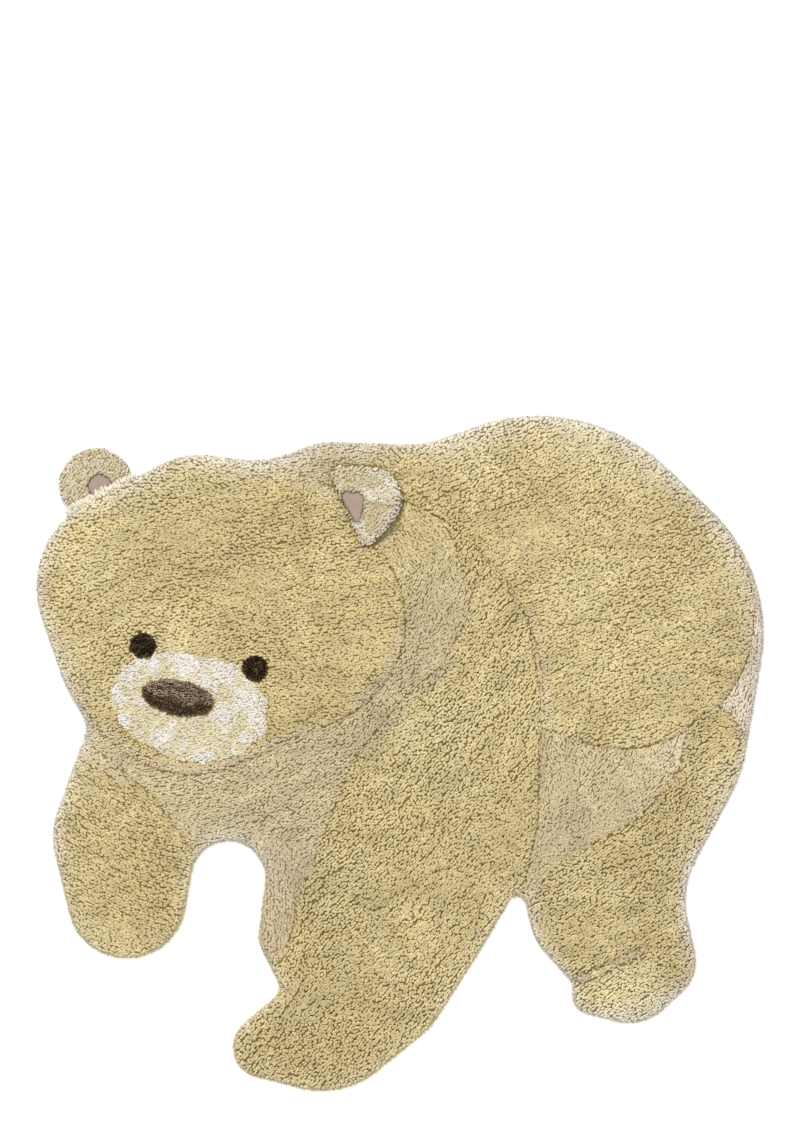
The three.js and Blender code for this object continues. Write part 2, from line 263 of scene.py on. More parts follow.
def evenly(rim: Polygon, step: float) -> tuple[Points, np.ndarray]:
    """Walks round a rim.

    Args:
        rim: The rim's corners in order.
        step: Distance between places.

    Returns:
        Even places on the rim and the outward unit way at each.
    """
    closed = np.vstack([rim, rim[:1]])
    length = np.concatenate([[0], np.cumsum(np.hypot(*np.diff(closed, axis=0).T))])
    marks = np.arange(0, length[-1] - step / 2, step)

    def at(walked: np.ndarray) -> Points:
        """Places on the rim after these lengths."""
        return np.stack([np.interp(walked % length[-1], length, closed[:, k]) for k in (0, 1)], 1)

    run = at(marks + step / 2) - at(marks - step / 2)
    run /= np.hypot(*run.T)[:, None]
    return at(marks), np.stack([run[:, 1], -run[:, 0]], 1)


# ---------------------------------------------------------------- meshes and nodes


def new_mesh(name: str, corners: np.ndarray, faces: list[np.ndarray]) -> bpy.types.Object:
    """Makes a smooth mesh object from arrays.

    Args:
        name: The piece's name.
        corners: Vertex places, one row each.
        faces: Arrays of vertex numbers, each array with its own number of sides.

    Returns:
        The object, linked to the scene.
    """
    mesh = bpy.data.meshes.new(name)
    sides = np.concatenate([np.full(len(f), f.shape[1]) for f in faces])
    loops = np.concatenate([f.ravel() for f in faces]).astype(np.int32)
    mesh.vertices.add(len(corners))
    mesh.vertices.foreach_set("co", np.asarray(corners, np.float32).ravel())
    mesh.loops.add(len(loops))
    mesh.loops.foreach_set("vertex_index", loops)
    mesh.polygons.add(len(sides))
    mesh.polygons.foreach_set("loop_start", np.concatenate([[0], np.cumsum(sides)[:-1]]).astype(np.int32))
    mesh.polygons.foreach_set("use_smooth", np.ones(len(sides), bool))
    mesh.update(calc_edges=True)
    mesh.validate()
    piece = bpy.data.objects.new(name, mesh)
    bpy.context.scene.collection.objects.link(piece)
    return piece


def set_uv(piece: bpy.types.Object, name: str, uv: np.ndarray) -> None:
    """Adds a UV map with one row for each face corner."""
    uv_map = piece.data.uv_layers.new(name=name)
    uv_map.uv.foreach_set("vector", np.asarray(uv, np.float32).ravel())


def set_point_colour(piece: bpy.types.Object, name: str, colour: np.ndarray) -> None:
    """Adds a colour attribute with one linear row for each vertex."""
    four = np.concatenate([colour, np.ones((len(colour), 1))], 1).astype(np.float32)
    piece.data.color_attributes.new(name, "FLOAT_COLOR", "POINT").data.foreach_set("color", four.ravel())


def set_point_value(piece: bpy.types.Object, name: str, value: np.ndarray) -> None:
    """Adds a number for each vertex."""
    piece.data.attributes.new(name, "FLOAT", "POINT").data.foreach_set("value", value.astype(np.float32))


def dye_packed(piece: bpy.types.Object, colour: np.ndarray) -> None:
    """Dyes packed yarn, which lies deep in the pile, with one linear row for each vertex, and sets its height so that
    the pile material darkens it with painted shade.
    """
    set_point_colour(piece, "dye", colour)
    set_point_value(piece, "height", np.full(len(colour), PACKED_HEIGHT))


def set_inputs(node: bpy.types.Node, values: dict[object, object]) -> None:
    """Sets fixed inputs of a node, by socket name or number."""
    for socket, value in values.items():
        node.inputs[socket].default_value = value


def add_node(
    tree: bpy.types.NodeTree,
    kind: str,
    settings: dict[str, object] | None = None,
    values: dict[object, object] | None = None,
    links: dict[object, bpy.types.NodeSocket] | None = None,
) -> bpy.types.Node:
    """Adds a shader node.

    Args:
        tree: The material's node tree.
        kind: The node's type.
        settings: Properties of the node.
        values: Fixed inputs, by socket name or number.
        links: Inputs that come from another node's output.

    Returns:
        The node.
    """
    node = tree.nodes.new(kind)
    for name, value in (settings or {}).items():
        setattr(node, name, value)
    set_inputs(node, values or {})
    for socket, source in (links or {}).items():
        tree.links.new(source, node.inputs[socket])
    return node


def new_material(name: str) -> tuple[bpy.types.Material, bpy.types.NodeTree, bpy.types.Node]:
    """Makes a material with only its Principled shader.

    Args:
        name: The finish's name.

    Returns:
        The material, its tree and the shader.
    """
    material = bpy.data.materials.new(name)
    material.use_nodes = True
    tree = material.node_tree
    return material, tree, tree.nodes["Principled BSDF"]


def remapped(
    tree: bpy.types.NodeTree,
    source: bpy.types.NodeSocket,
    given: tuple[float, float],
    wanted: tuple[float, float],
    way: str = "LINEAR",
) -> bpy.types.NodeSocket:
    """Maps one range of values to another.

    Args:
        tree: The material's node tree.
        source: The values.
        given: The range in which they come.
        wanted: The range to which they are brought.
        way: How the values between are found.

    Returns:
        The mapped values.
    """
    limits = dict(enumerate((*given, *wanted), 1))
    return add_node(tree, "ShaderNodeMapRange", {"interpolation_type": way}, limits, {0: source}).outputs[0]


# ---------------------------------------------------------------- finishes

MULTIPLY = {"data_type": "RGBA", "blend_type": "MULTIPLY"}


@dataclass(frozen=True)
class CutCottonPile:
    """Dyed cotton yarn, two-ply, cut and washed: matt and fuzzy, darkened by painted shade only deep between the
    tufts.
    """

    name: str
    # The colour that the dye is multiplied by at the tufts' roots: painted shade deep in the pile.
    root_painted_shade: str = "#b2a47c"
    fibre_mm: float = 2.0  # a wisp of fibres; a single one is far finer and wouldn't show
    ply_turns: float = 1.3  # turns of the two plies along one tuft
    ply_depth_mm: float = 0.5
    sheen: float = 0.25
    roughness: float = 0.95
    specular: float = 0.1
    sheen_roughness: float = 0.6

    def make(self) -> bpy.types.Material:
        """Builds the material from the yarn's dye, painted shade by its height in the pile, and its twist.

        Returns:
            The material.
        """
        material, tree, shader = new_material(self.name)
        dye = add_node(tree, "ShaderNodeAttribute", {"attribute_name": "dye"})
        height = add_node(tree, "ShaderNodeAttribute", {"attribute_name": "height"})
        own = add_node(tree, "ShaderNodeTexCoord")
        # Low in the pile the dye is multiplied by the root colour: painted shade between the tufts.
        deep = remapped(tree, height.outputs["Fac"], (0.15, 0.8), (1.0, 0.0), "SMOOTHSTEP")
        dyed = {0: deep, 6: dye.outputs["Color"]}
        shaded = add_node(tree, "ShaderNodeMix", MULTIPLY, {7: rgba(self.root_painted_shade)}, dyed)
        fibre = add_node(
            tree,
            "ShaderNodeTexNoise",
            {"noise_dimensions": "3D"},
            {"Scale": 1 / (self.fibre_mm * MM), "Detail": 2.0, "Roughness": 0.6},
            {"Vector": own.outputs["Object"]},
        )
        fleck = remapped(tree, fibre.outputs["Fac"], (0.3, 0.7), (0.82, 1.14))
        yarn = add_node(tree, "ShaderNodeMix", MULTIPLY, {0: 1.0}, {6: shaded.outputs[2], 7: fleck})
        tree.links.new(yarn.outputs[2], shader.inputs["Base Color"])
        twist = add_node(tree, "ShaderNodeUVMap", {"uv_map": YARN_MAP})
        turns = {"Scale": (0.4 * math.pi, 0.2 * math.pi * self.ply_turns, 0.0)}
        laid = add_node(tree, "ShaderNodeMapping", {}, turns, {"Vector": twist.outputs["UV"]})
        ply = add_node(
            tree,
            "ShaderNodeTexWave",
            {"wave_type": "BANDS", "bands_direction": "DIAGONAL"},
            {"Scale": 1.0, "Distortion": 0.6, "Detail": 1.0},
            {"Vector": laid.outputs["Vector"]},
        )
        both = {2: ply.outputs["Fac"], 3: fibre.outputs["Fac"]}
        relief = add_node(tree, "ShaderNodeMix", {"data_type": "FLOAT"}, {0: 0.35}, both)
        depth = {"Strength": 0.6, "Distance": self.ply_depth_mm * MM}
        bump = add_node(tree, "ShaderNodeBump", {}, depth, {"Height": relief.outputs[0]})
        tree.links.new(bump.outputs["Normal"], shader.inputs["Normal"])
        set_inputs(shader, {"Roughness": self.roughness, "Specular IOR Level": self.specular})
        set_inputs(shader, {"Sheen Weight": self.sheen, "Sheen Roughness": self.sheen_roughness})
        return material


@dataclass(frozen=True)
class WovenCotton:
    """Plain-woven cotton: matt, with a fine grid of threads that look lit one by one, darker between them by painted
    shade.
    """

    name: str
    colour: Dye
    thread_mm: float
    relief_mm: float = 0.25
    roughness: float = 0.85
    sheen: float = 0.15

    def make(self) -> bpy.types.Material:
        """Builds the weave from two crossed waves in the cloth's own place.

        Returns:
            The material.
        """
        material, tree, shader = new_material(self.name)
        own = {"Vector": add_node(tree, "ShaderNodeTexCoord").outputs["Object"]}
        # A wave's period is 0.314 over its scale, and a cloth goes over and under in two threads.
        values = {"Scale": 0.314 / (2 * self.thread_mm * MM), "Distortion": 1.2, "Detail": 1.0, "Detail Scale": 1.5}
        waves = {}
        for number, way in enumerate("XY"):
            settings = {"wave_type": "BANDS", "bands_direction": way}
            waves[number] = add_node(tree, "ShaderNodeTexWave", settings, values, own).outputs["Fac"]
        weave = add_node(tree, "ShaderNodeMath", {"operation": "MAXIMUM"}, {}, waves).outputs[0]
        slub = add_node(tree, "ShaderNodeTexNoise", {}, {"Scale": 60.0, "Detail": 3.0}, own).outputs["Fac"]
        # The colour is darkened where the weave dips between threads: painted shade.
        light = remapped(tree, weave, (0.2, 1.0), (0.72, 1.0))
        cloudy = remapped(tree, slub, (0.3, 0.7), (0.92, 1.06))
        both = add_node(tree, "ShaderNodeMath", {"operation": "MULTIPLY"}, {}, {0: light, 1: cloudy})
        dyed = add_node(tree, "ShaderNodeMix", MULTIPLY, {0: 1.0, 6: rgba(self.colour)}, {7: both.outputs[0]})
        tree.links.new(dyed.outputs[2], shader.inputs["Base Color"])
        depth = {"Strength": 0.7, "Distance": self.relief_mm * MM}
        bump = add_node(tree, "ShaderNodeBump", {}, depth, {"Height": weave})
        tree.links.new(bump.outputs["Normal"], shader.inputs["Normal"])
        set_inputs(shader, {"Roughness": self.roughness, "Sheen Weight": self.sheen})
        return material


@dataclass(frozen=True)
class PlainFloor:
    """A matt white studio floor, lit from within like a light table, so that it shows no shadow."""

    name: str = "studio_floor"
    glow: float = 0.3

    def make(self) -> bpy.types.Material:
        """Builds an even matt white.

        Returns:
            The material.
        """
        material, _, shader = new_material(self.name)
        white = rgba(Dye.FLOOR)
        set_inputs(shader, {"Base Color": white, "Roughness": 1.0, "Specular IOR Level": 0.0})
        set_inputs(shader, {"Emission Color": white, "Emission Strength": self.glow})
        return material


# ---------------------------------------------------------------- fields of the pile


@dataclass(frozen=True)
class Disc:
    """A disc of a field's chain, in millimetres."""

    x: float
    y: float
    r: float


def from_middle(points: Points, spot: "Disc | Shade") -> np.ndarray:
    """Distance of each place from the middle of a disc or a shade, in metres."""
    return np.hypot(points[:, 0] - spot.x * MM, points[:, 1] - spot.y * MM)


def chain_depth(points: Points, chain: tuple[Disc, ...]) -> np.ndarray:
    """Measures inside the sweep of a disc along a chain.

    Args:
        points: Places in the plane, one row each.
        chain: The discs that the sweep passes in turn.

    Returns:
        The depth of each place, negative outside, in metres.
    """
    deepest = np.full(len(points), -np.inf)
    for a, b in zip(chain, chain[1:]):
        start, end = np.array([a.x, a.y]) * MM, np.array([b.x, b.y]) * MM
        length = np.hypot(*(end - start))
        way = (end - start) / length
        rel = points - start
        along = rel @ way
        aside = np.abs(rel[:, 0] * way[1] - rel[:, 1] * way[0])
        taper = (b.r - a.r) * MM / length
        t = np.clip((along + aside * taper) / length, 0, 1)
        radius = a.r * MM + t * (b.r - a.r) * MM
        deepest = np.maximum(deepest, radius - np.hypot(along - t * length, aside))
    return deepest


@dataclass(frozen=True)
class Gauge:
    """How closely the tufts of a bed stand and how they fall, in millimetres."""

    in_row: float
    between: float
    radius: float
    stray: float = 0.36  # how far a tuft strays from its place, as a share of the spacing
    lean: float = 1.8
    wander: float = 1.0
    parting: float = 2.3
    part_every: float = 18.0  # from one parting of the pile to the next
    crease: float = 2.2  # how far the tips give way beside a crease
    oval: float = 1.25  # how much wider a tuft is along its row
    below: float = 4.9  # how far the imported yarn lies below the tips


LONG_PILE = Gauge(4.8, 5.1, 3.85, lean=1.6, wander=0.6, parting=0.9, oval=1.1)
LOOSE_PILE = Gauge(4.8, 5.1, 3.8, lean=1.9, wander=0.75, parting=1.4, crease=2.8, oval=1.12, below=5.8)
CLIPPED_PILE = Gauge(
    4.6, 4.9, 3.75, lean=1.3, wander=0.55, parting=0.7, part_every=17.0, crease=1.6, oval=1.15, below=4.2
)
FINE_PILE = Gauge(4.4, 4.7, 3.75, lean=1.0, wander=0.5, parting=0.3, crease=0.6, oval=1.1, below=3.2)
MUZZLE_PILE = Gauge(4.2, 4.7, 3.7, lean=1.2, wander=0.5, parting=0.3, crease=0.3, oval=1.1, below=3.6)
EAR_PILE = Gauge(4.3, 4.7, 3.6, lean=1.0, wander=0.6, parting=0.6, part_every=15.0, crease=0.8, oval=1.1, below=2.7)
SHORT_PILE = Gauge(3.4, 3.8, 2.2, lean=0.5, wander=0.75, parting=0.3, crease=0.0, oval=1.15)
SWING_DEG = 24.0  # how far the way of the rows swings from place to place
EDGE_REACH = 9 * MM  # how far in from the rim tufts lean outwards
EDGE_LEAN = 6 * MM  # how far their tips lean there
LEAST_RISE = 2.5 * MM  # of a tip over its root


@dataclass(frozen=True)
class Field:
    """A field of long pile: where it lies, which way its rows run and its yarn."""

    name: str
    rows_deg: float
    chain: tuple[Disc, ...]
    hollow: Disc | None = None
    gauge: Gauge = LONG_PILE

    def depth(self, points: Points) -> np.ndarray:
        """Measures inside the field.

        Args:
            points: Places in the plane, one row each.

        Returns:
            The depth of each place, negative outside, in metres.
        """
        depth = chain_depth(points, self.chain)
        if self.hollow:
            depth = np.minimum(depth, from_middle(points, self.hollow) - self.hollow.r * MM)
        return depth


@dataclass(frozen=True)
class Shade:
    """A shaded field, clipped shorter: its middle in millimetres, the way its rows run and its yarn."""

    name: str
    x: float
    y: float
    rows_deg: float
    dye: Dye


HEAD = Field(
    "head",
    8,
    (
        Disc(-480, 310, 235), Disc(-370, 390, 195), Disc(-215, 365, 170),
        Disc(-195, 255, 205), Disc(-400, 185, 225), Disc(-480, 310, 235),
    ),
)
NEAR_FORELEG = Field(
    "near_foreleg",
    48,
    (
        Disc(105, 430, 12), Disc(170, 310, 32), Disc(188, 236, 62), Disc(163, 100, 107),
        Disc(115, 0, 152), Disc(75, -110, 190), Disc(-50, -320, 150), Disc(-130, -440, 100),
        Disc(-185, -565, 150), Disc(-60, -500, 170), Disc(60, -330, 160), Disc(75, -110, 190),
    ),
    gauge=LOOSE_PILE,
)
LIFTED_FORELEG = Field("lifted_foreleg", -25, (Disc(-620, -20, 45), Disc(-560, -160, 115), Disc(-510, -290, 150)))
TRUNK = Field(
    "trunk",
    22,
    (Disc(110, 520, 120), Disc(270, 395, 260), Disc(350, 330, 290), Disc(425, 265, 255)),
    hollow=Disc(-135, 100, 410),
)
HIND_LEG = Field(
    "hind_leg",
    35,
    (
        Disc(600, 40, 50), Disc(618, -60, 85), Disc(565, -180, 115), Disc(545, -260, 160),
        Disc(400, -330, 150), Disc(400, -430, 150), Disc(520, -420, 150), Disc(545, -260, 160),
    ),
    gauge=LOOSE_PILE,
)
FIELDS = (TRUNK, NEAR_FORELEG, HIND_LEG, LIFTED_FORELEG, HEAD)
# The clipped crease above the toes of the hind leg.
TOE_CREASE = (Disc(350, -434, 8), Disc(470, -376, 8))


@dataclass(frozen=True)
class Band:
    """A narrow strip of shaded yarn along the inside of a border, where it lies within a disc."""

    border: str  # a field's name, or "rim"
    width_mm: float
    within: Disc
    dye: Dye
    share: float = 1.0


BANDS = (
    Band("head", 18, Disc(-365, -130, 290), Dye.CHIN, 0.75),
    Band("head", 24, Disc(-220, 545, 130), Dye.NAPE, 0.8),
    Band("lifted_foreleg", 24, Disc(-590, 0, 95), Dye.CHEST, 0.8),
    Band("head", 24, Disc(-20, 150, 110), Dye.NECK),
    Band("near_foreleg", 18, Disc(20, 90, 150), Dye.NECK, 0.7),
    Band("trunk", 20, Disc(262, 150, 135), Dye.BELLY, 0.8),
    Band("trunk", 11, Disc(520, 60, 150), Dye.BELLY, 0.6),
    Band("rim", 12, Disc(575, -265, 110), Dye.RUMP_RIM),
)
# Long creases in which the pile gives way, beside the near ear and on the legs, head and trunk.
CREASES = (
    (Disc(-40, 572, 1), Disc(-12, 549, 2), Disc(17, 517, 2), Disc(40, 491, 2), Disc(62, 474, 1)),
    (Disc(-154, -355, 1), Disc(-96, -321, 1.6), Disc(-38, -292, 1.6), Disc(29, -249, 1.6), Disc(96, -220, 1)),
    (Disc(-60, -372, 1), Disc(10, -330, 1.5), Disc(70, -300, 1)),
    (Disc(-96, -119, 1), Disc(-77, -71, 1.6), Disc(-38, -33, 1)),
    (Disc(38, 102, 1), Disc(96, 63, 1.5), Disc(144, 54, 1)),
    (Disc(-250, 6, 1), Disc(-192, 44, 1.6), Disc(-150, 86, 1)),
    (Disc(-215, 10, 1), Disc(-165, 48, 1.5), Disc(-120, 82, 1)),
    (Disc(-440, 365, 1), Disc(-380, 346, 1.5), Disc(-330, 352, 1)),
    (Disc(-250, 300, 1), Disc(-200, 318, 1.5), Disc(-150, 306, 1)),
    (Disc(365, 477, 1), Disc(423, 429, 1.5), Disc(404, 390, 1)),
    (Disc(300, 250, 1), Disc(360, 262, 1.5), Disc(430, 240, 1)),
    (Disc(365, -177, 1), Disc(442, -138, 1.6), Disc(510, -90, 1)),
    (Disc(420, -250, 1), Disc(480, -225, 1.5), Disc(530, -232, 1)),
)
# Painted shadow in the gap under the near ear's free edge, where the tufts are dyed darker.
EAR_PAINTED_SHADOW = (Disc(-50, 402, 4), Disc(-25, 418, 4), Disc(0, 437, 4))
# Broad patches: a share above 0 is paler straw, one below 0 deeper.
TONES = (
    (Disc(150, 545, 120), 0.45), (Disc(380, 610, 190), 0.35), (Disc(660, 400, 80), 0.35), (Disc(430, -480, 135), 0.9),
    (Disc(30, -430, 110), 0.35), (Disc(-575, 500, 50), 0.4), (Disc(270, 70, 90), 0.3), (Disc(-600, -20, 90), 0.25),
    (Disc(470, 20, 90), 0.25), (Disc(620, -60, 80), 0.3), (Disc(60, -300, 80), 0.25), (Disc(500, 333, 70), 0.15),
    (Disc(-430, 460, 160), -0.09), (Disc(-540, 340, 110), -0.06), (Disc(-10, 20, 90), -0.07),
    (Disc(320, -150, 80), -0.1), (Disc(-190, -490, 90), -0.07),
)
# Where the pile is pale further in from the rim.
WIDE_RIM_PALE = (Disc(300, 600, 330), Disc(640, 330, 200), Disc(-300, 600, 120), Disc(470, -520, 120))
SHADES = (
    Shade("nape", -180, 560, 5, Dye.NAPE),
    Shade("neck_top", -5, 425, -50, Dye.NECK_TOP),
    Shade("neck", 80, 300, 65, Dye.NECK),
    Shade("neck_low", 0, 120, 62, Dye.NECK),
    Shade("chest", -180, -60, 36, Dye.CHEST),
    Shade("breast", -400, -110, 15, Dye.CHEST),
    Shade("far_leg", -230, -280, 86, Dye.FAR_LEG),
    Shade("belly_front", 300, 0, 75, Dye.BELLY),
    Shade("belly", 400, -90, 45, Dye.BELLY),
    Shade("belly_tip", 280, -230, 62, Dye.BELLY),
    Shade("rump_rim", 690, 180, 85, Dye.RUMP_RIM),
    Shade("rump_low", 660, 60, 70, Dye.RUMP_RIM),
    Shade("toe_crease", 410, -405, 25, Dye.TOE),
)
# The number of the muzzle's field: the long fields come first, then the shades.
MUZZLE_HOME = len(FIELDS) + len(SHADES)
# White patches of the muzzle, in the face's own axes.
WHITE_PATCHES = (
    Disc(-145, 0, 18), Disc(-128, 37, 19), Disc(-92, 72, 22), Disc(-26, 88, 32), Disc(52, 86, 27), Disc(26, 52, 15),
    Disc(102, 38, 26), Disc(69, 3, 18), Disc(131, 8, 17), Disc(-38, -68, 17), Disc(50, -92, 24), Disc(-120, -50, 14),
)


@dataclass(frozen=True)
class Face:
    """The face's own axes, about the middle of the muzzle, in millimetres."""

    x: float = -405
    y: float = 90
    turn: float = -0.2
    muzzle_half_length: float = 154
    muzzle_half_height: float = 104

    def own(self, points: Points) -> Points:
        """Turns places on the rug into the face's axes.

        Args:
            points: Places on the rug, one row each.

        Returns:
            The places along and across the muzzle, in millimetres.
        """
        c, s = math.cos(self.turn), math.sin(self.turn)
        rel = points / MM - np.array([self.x, self.y])
        return np.stack([rel[:, 0] * c + rel[:, 1] * s, -rel[:, 0] * s + rel[:, 1] * c], 1)

    def muzzle_depth(self, points: Points) -> np.ndarray:
        """Measures inside the muzzle's ragged oval.

        Args:
            points: Places on the rug, one row each.

        Returns:
            The depth of each place, negative outside, in metres.
        """
        at = self.own(points)
        share = np.hypot(at[:, 0] / self.muzzle_half_length, at[:, 1] / self.muzzle_half_height)
        ragged = 5.0 * SmoothNoise(21).at(points, 0.03) + 4.0 * SmoothNoise(22).at(points, 0.012)
        return ((1 - share) * self.muzzle_half_height + ragged) * MM


# ---------------------------------------------------------------- tufts


@dataclass
class Tufts:
    """A bed of cut tufts: one row of each array for each tuft."""

    root: np.ndarray
    tip: np.ndarray
    radius: np.ndarray
    along: np.ndarray  # unit way of the tuft row in the plane
    dye: np.ndarray
    oval: float = 1.12  # how much wider a tuft is along its row

    SIDES = 4
    RINGS = ((0.0, 0.85), (0.7, 1.0))  # share of the way up, share of the radius
    CELL_MARGIN = 0.06  # free share of a bake cell on each side
    TONE_SPREAD = 0.06  # how much one tuft's tone differs from the next

    def build(self, name: str, seed: int) -> bpy.types.Object:
        """Makes the tufts as one mesh, each with its own twist and its own cell of the bake map.

        Args:
            name: The piece's name.
            seed: Seed of the tufts' small differences.

        Returns:
            The mesh object, with the dye and the height in the pile on its vertices.
        """
        rng = np.random.default_rng(seed)
        corners = self._corners(rng)
        faces, turns = self._faces()
        count, each = len(self.root), len(self.RINGS) * self.SIDES + 1
        start = (np.arange(count) * each)[:, None, None]
        piece = new_mesh(name, corners, [(start + part).reshape(-1, part.shape[1]) for part in faces])
        yarn = [np.broadcast_to(part, (count, *part.shape)) for part in turns]
        set_uv(piece, YARN_MAP, np.concatenate([part.reshape(-1, 2) for part in yarn]))
        cells = math.ceil(math.sqrt(count))
        cell = np.stack([np.arange(count) % cells, np.arange(count) // cells], 1)[:, None, None, :]
        margin = self.CELL_MARGIN
        baked = [((cell + margin + (1 - 2 * margin) * part) / cells).reshape(-1, 2) for part in yarn]
        set_uv(piece, BAKE_MAP, np.concatenate(baked))
        piece.data.uv_layers[BAKE_MAP].active_render = True
        piece.data.uv_layers.active = piece.data.uv_layers[BAKE_MAP]
        tone = rng.normal(1.0, self.TONE_SPREAD, count)[:, None]
        set_point_colour(piece, "dye", np.repeat(np.clip(self.dye * tone, 0, 1), each, 0))
        steps = [t for t, _ in self.RINGS for _ in range(self.SIDES)] + [1.0]
        set_point_value(piece, "height", np.tile(steps, count))
        return piece

    def _corners(self, rng: np.random.Generator) -> np.ndarray:
        """Places the rings round each tuft's bent middle, and its tip.

        Args:
            rng: Draws how each tuft is turned and how uneven its rings are.

        Returns:
            The corners, tuft by tuft.
        """
        count = len(self.root)
        lean = (self.tip - self.root) * np.array([1, 1, 0])
        rise = (self.tip - self.root) * np.array([0, 0, 1])
        across = np.concatenate([self.along, np.zeros((count, 1))], 1)
        turn = rng.uniform(0, 2 * math.pi, count)
        rows: list[np.ndarray] = []
        for t, width in self.RINGS:
            middle = self.root + rise * t + lean * t**1.5
            axis = unit(rise + lean * (0.4 + 1.1 * t**0.5))
            first = unit(across - axis * (across * axis).sum(1)[:, None])
            second = np.cross(axis, first)
            for side in range(self.SIDES):
                angle = turn + 2 * math.pi * side / self.SIDES + 0.9 * t
                r = self.radius * width * rng.uniform(0.82, 1.18, count)
                wide, narrow = np.cos(angle) * r * self.oval, np.sin(angle) * r / self.oval
                rows.append(middle + first * wide[:, None] + second * narrow[:, None])
        rows.append(self.tip)
        return np.stack(rows, 1).reshape(-1, 3)

    def _faces(self) -> tuple[list[np.ndarray], list[np.ndarray]]:
        """Lays out the faces of one tuft, first its sides and then those that meet in its tip.

        Returns:
            The faces' corner numbers, and for each corner the share of a turn and of the way up.
        """
        n, crown = self.SIDES, (len(self.RINGS) - 1) * self.SIDES
        quads, caps, quad_turns, cap_turns = [], [], [], []
        for ring, ((low, _), (high, _)) in enumerate(zip(self.RINGS, self.RINGS[1:])):
            for side in range(n):
                here, beside = ring * n + side, ring * n + (side + 1) % n
                left, right = side / n, (side + 1) / n
                quads.append([here, beside, beside + n, here + n])
                quad_turns.append([[left, low], [right, low], [right, high], [left, high]])
        low = self.RINGS[-1][0]
        for side in range(n):
            caps.append([crown + side, crown + (side + 1) % n, crown + n])
            cap_turns.append([[side / n, low], [(side + 1) / n, low], [(side + 0.5) / n, 1.0]])
        return [np.array(quads), np.array(caps)], [np.array(quad_turns), np.array(cap_turns)]


@dataclass
class Bed:
    """Where the tufts of one bed stand: one row of each array for each tuft."""

    places: Points
    own: Points  # how far along and across the rows
    depth: np.ndarray  # how deep inside the rim
    outward: Points  # unit way to the rim

    @classmethod
    def inside(cls, rim: Polygon, places: Points, own: Points) -> "Bed":
        """Measures the places from a rim."""
        return cls(places, own, *rim_distance(places, rim))

    def kept(self, keep: np.ndarray) -> "Bed":
        """Gives only the tufts for which keep holds."""
        return Bed(self.places[keep], self.own[keep], self.depth[keep], self.outward[keep])


def rows_over(rim: Polygon, deg: float, gauge: Gauge, seed: int) -> tuple[Points, np.ndarray]:
    """Lays uneven rows of tuft places over the box of a rim.

    Args:
        rim: The rim's corners in order.
        deg: The way the rows run, counterclockwise from +X.
        gauge: How closely the tufts stand.
        seed: Seed of the unevenness.

    Returns:
        The places, and how far along and across the rows each one lies.
    """
    rng = np.random.default_rng(seed)
    low, high = rim.min(0), rim.max(0)
    centre, reach = (low + high) / 2, np.hypot(*(high - low)) / 2
    spacings = np.array([gauge.in_row, gauge.between]) * MM
    grid = np.stack(np.meshgrid(*[np.arange(-reach, reach, spacing) for spacing in spacings]), -1)
    grid[1::2, :, 0] += gauge.in_row * MM / 2
    own = grid.reshape(-1, 2)
    own = own + rng.uniform(-1, 1, own.shape) * spacings * gauge.stray
    c, s = cos_sin(deg)
    places = centre + own @ np.array([[c, s], [-s, c]])
    swerve = SmoothNoise(seed + 7).at(places, 110 * MM) * 12 * MM
    return places + swerve[:, None] * np.array([-s, c]), own


def fallen(
    bed: Bed, tops: np.ndarray, root_z: np.ndarray, dye: np.ndarray, deg: float, gauge: Gauge, seed: int
) -> Tufts:
    """Lets the tufts of one bed lean, part and clump.

    Args:
        bed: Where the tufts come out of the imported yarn.
        tops: Height of the pile at each.
        root_z: Height where each comes out.
        dye: Yarn colour of each.
        deg: The way the rows run.
        gauge: How the tufts fall.
        seed: Seed of the tufts' differences.

    Returns:
        The tufts.
    """
    rng = np.random.default_rng(seed)
    places, own, count = bed.places, bed.own, len(bed.places)
    swing = np.radians(deg + SWING_DEG * GUSTS.at(places, 0.12))
    along = np.stack([np.cos(swing), np.sin(swing)], 1)
    side = np.stack([along[:, 1], -along[:, 0]], 1)
    wave = 2 * math.pi * own[:, 1] / (gauge.part_every * MM) + 4.0 * GUSTS.at(places, 0.05)
    rough = smoothstep(PATCHES.at(places, 0.03) + 0.6 * GUSTS.at(places, 0.14), -0.2, 0.7)
    lean = side * (gauge.lean * MM + gauge.parting * MM * rough * np.sin(wave))[:, None]
    # Short creases run along the rows, where a noise drawn out that way passes through zero.
    long_way, furrow = own * np.array([0.35, 1.0]), SmoothNoise(seed + 1)
    level = furrow.layered(long_way, 0.05)
    slope = furrow.layered(long_way + [0, 1 * MM], 0.05) - furrow.layered(long_way - [0, 1 * MM], 0.05)
    crease = np.exp(-((level * 22 / 4.5) ** 2)) * smoothstep(GUSTS.at(places, 0.07), -0.05, 0.6)
    lean = lean - side * (gauge.crease * MM * crease * np.sign(level * slope))[:, None]
    lean = lean + rng.normal(0, gauge.wander * MM, (count, 2))
    edge = np.exp(-np.clip(bed.depth, 0, 1) / EDGE_REACH)[:, None]
    lean = mixed(lean, bed.outward * EDGE_LEAN, edge)
    z = tops + rng.normal(0, 0.4 * MM, count) - 0.4 * MM * rough * (1 + np.cos(wave)) - 0.8 * MM * crease
    root = np.column_stack([places, root_z])
    tip = np.column_stack([places + lean, np.maximum(z, root_z + LEAST_RISE)])
    radius = gauge.radius * MM * np.clip(rng.normal(1.0, 0.1, count), 0.75, 1.25)
    return Tufts(root, tip, radius, along, dye, gauge.oval)


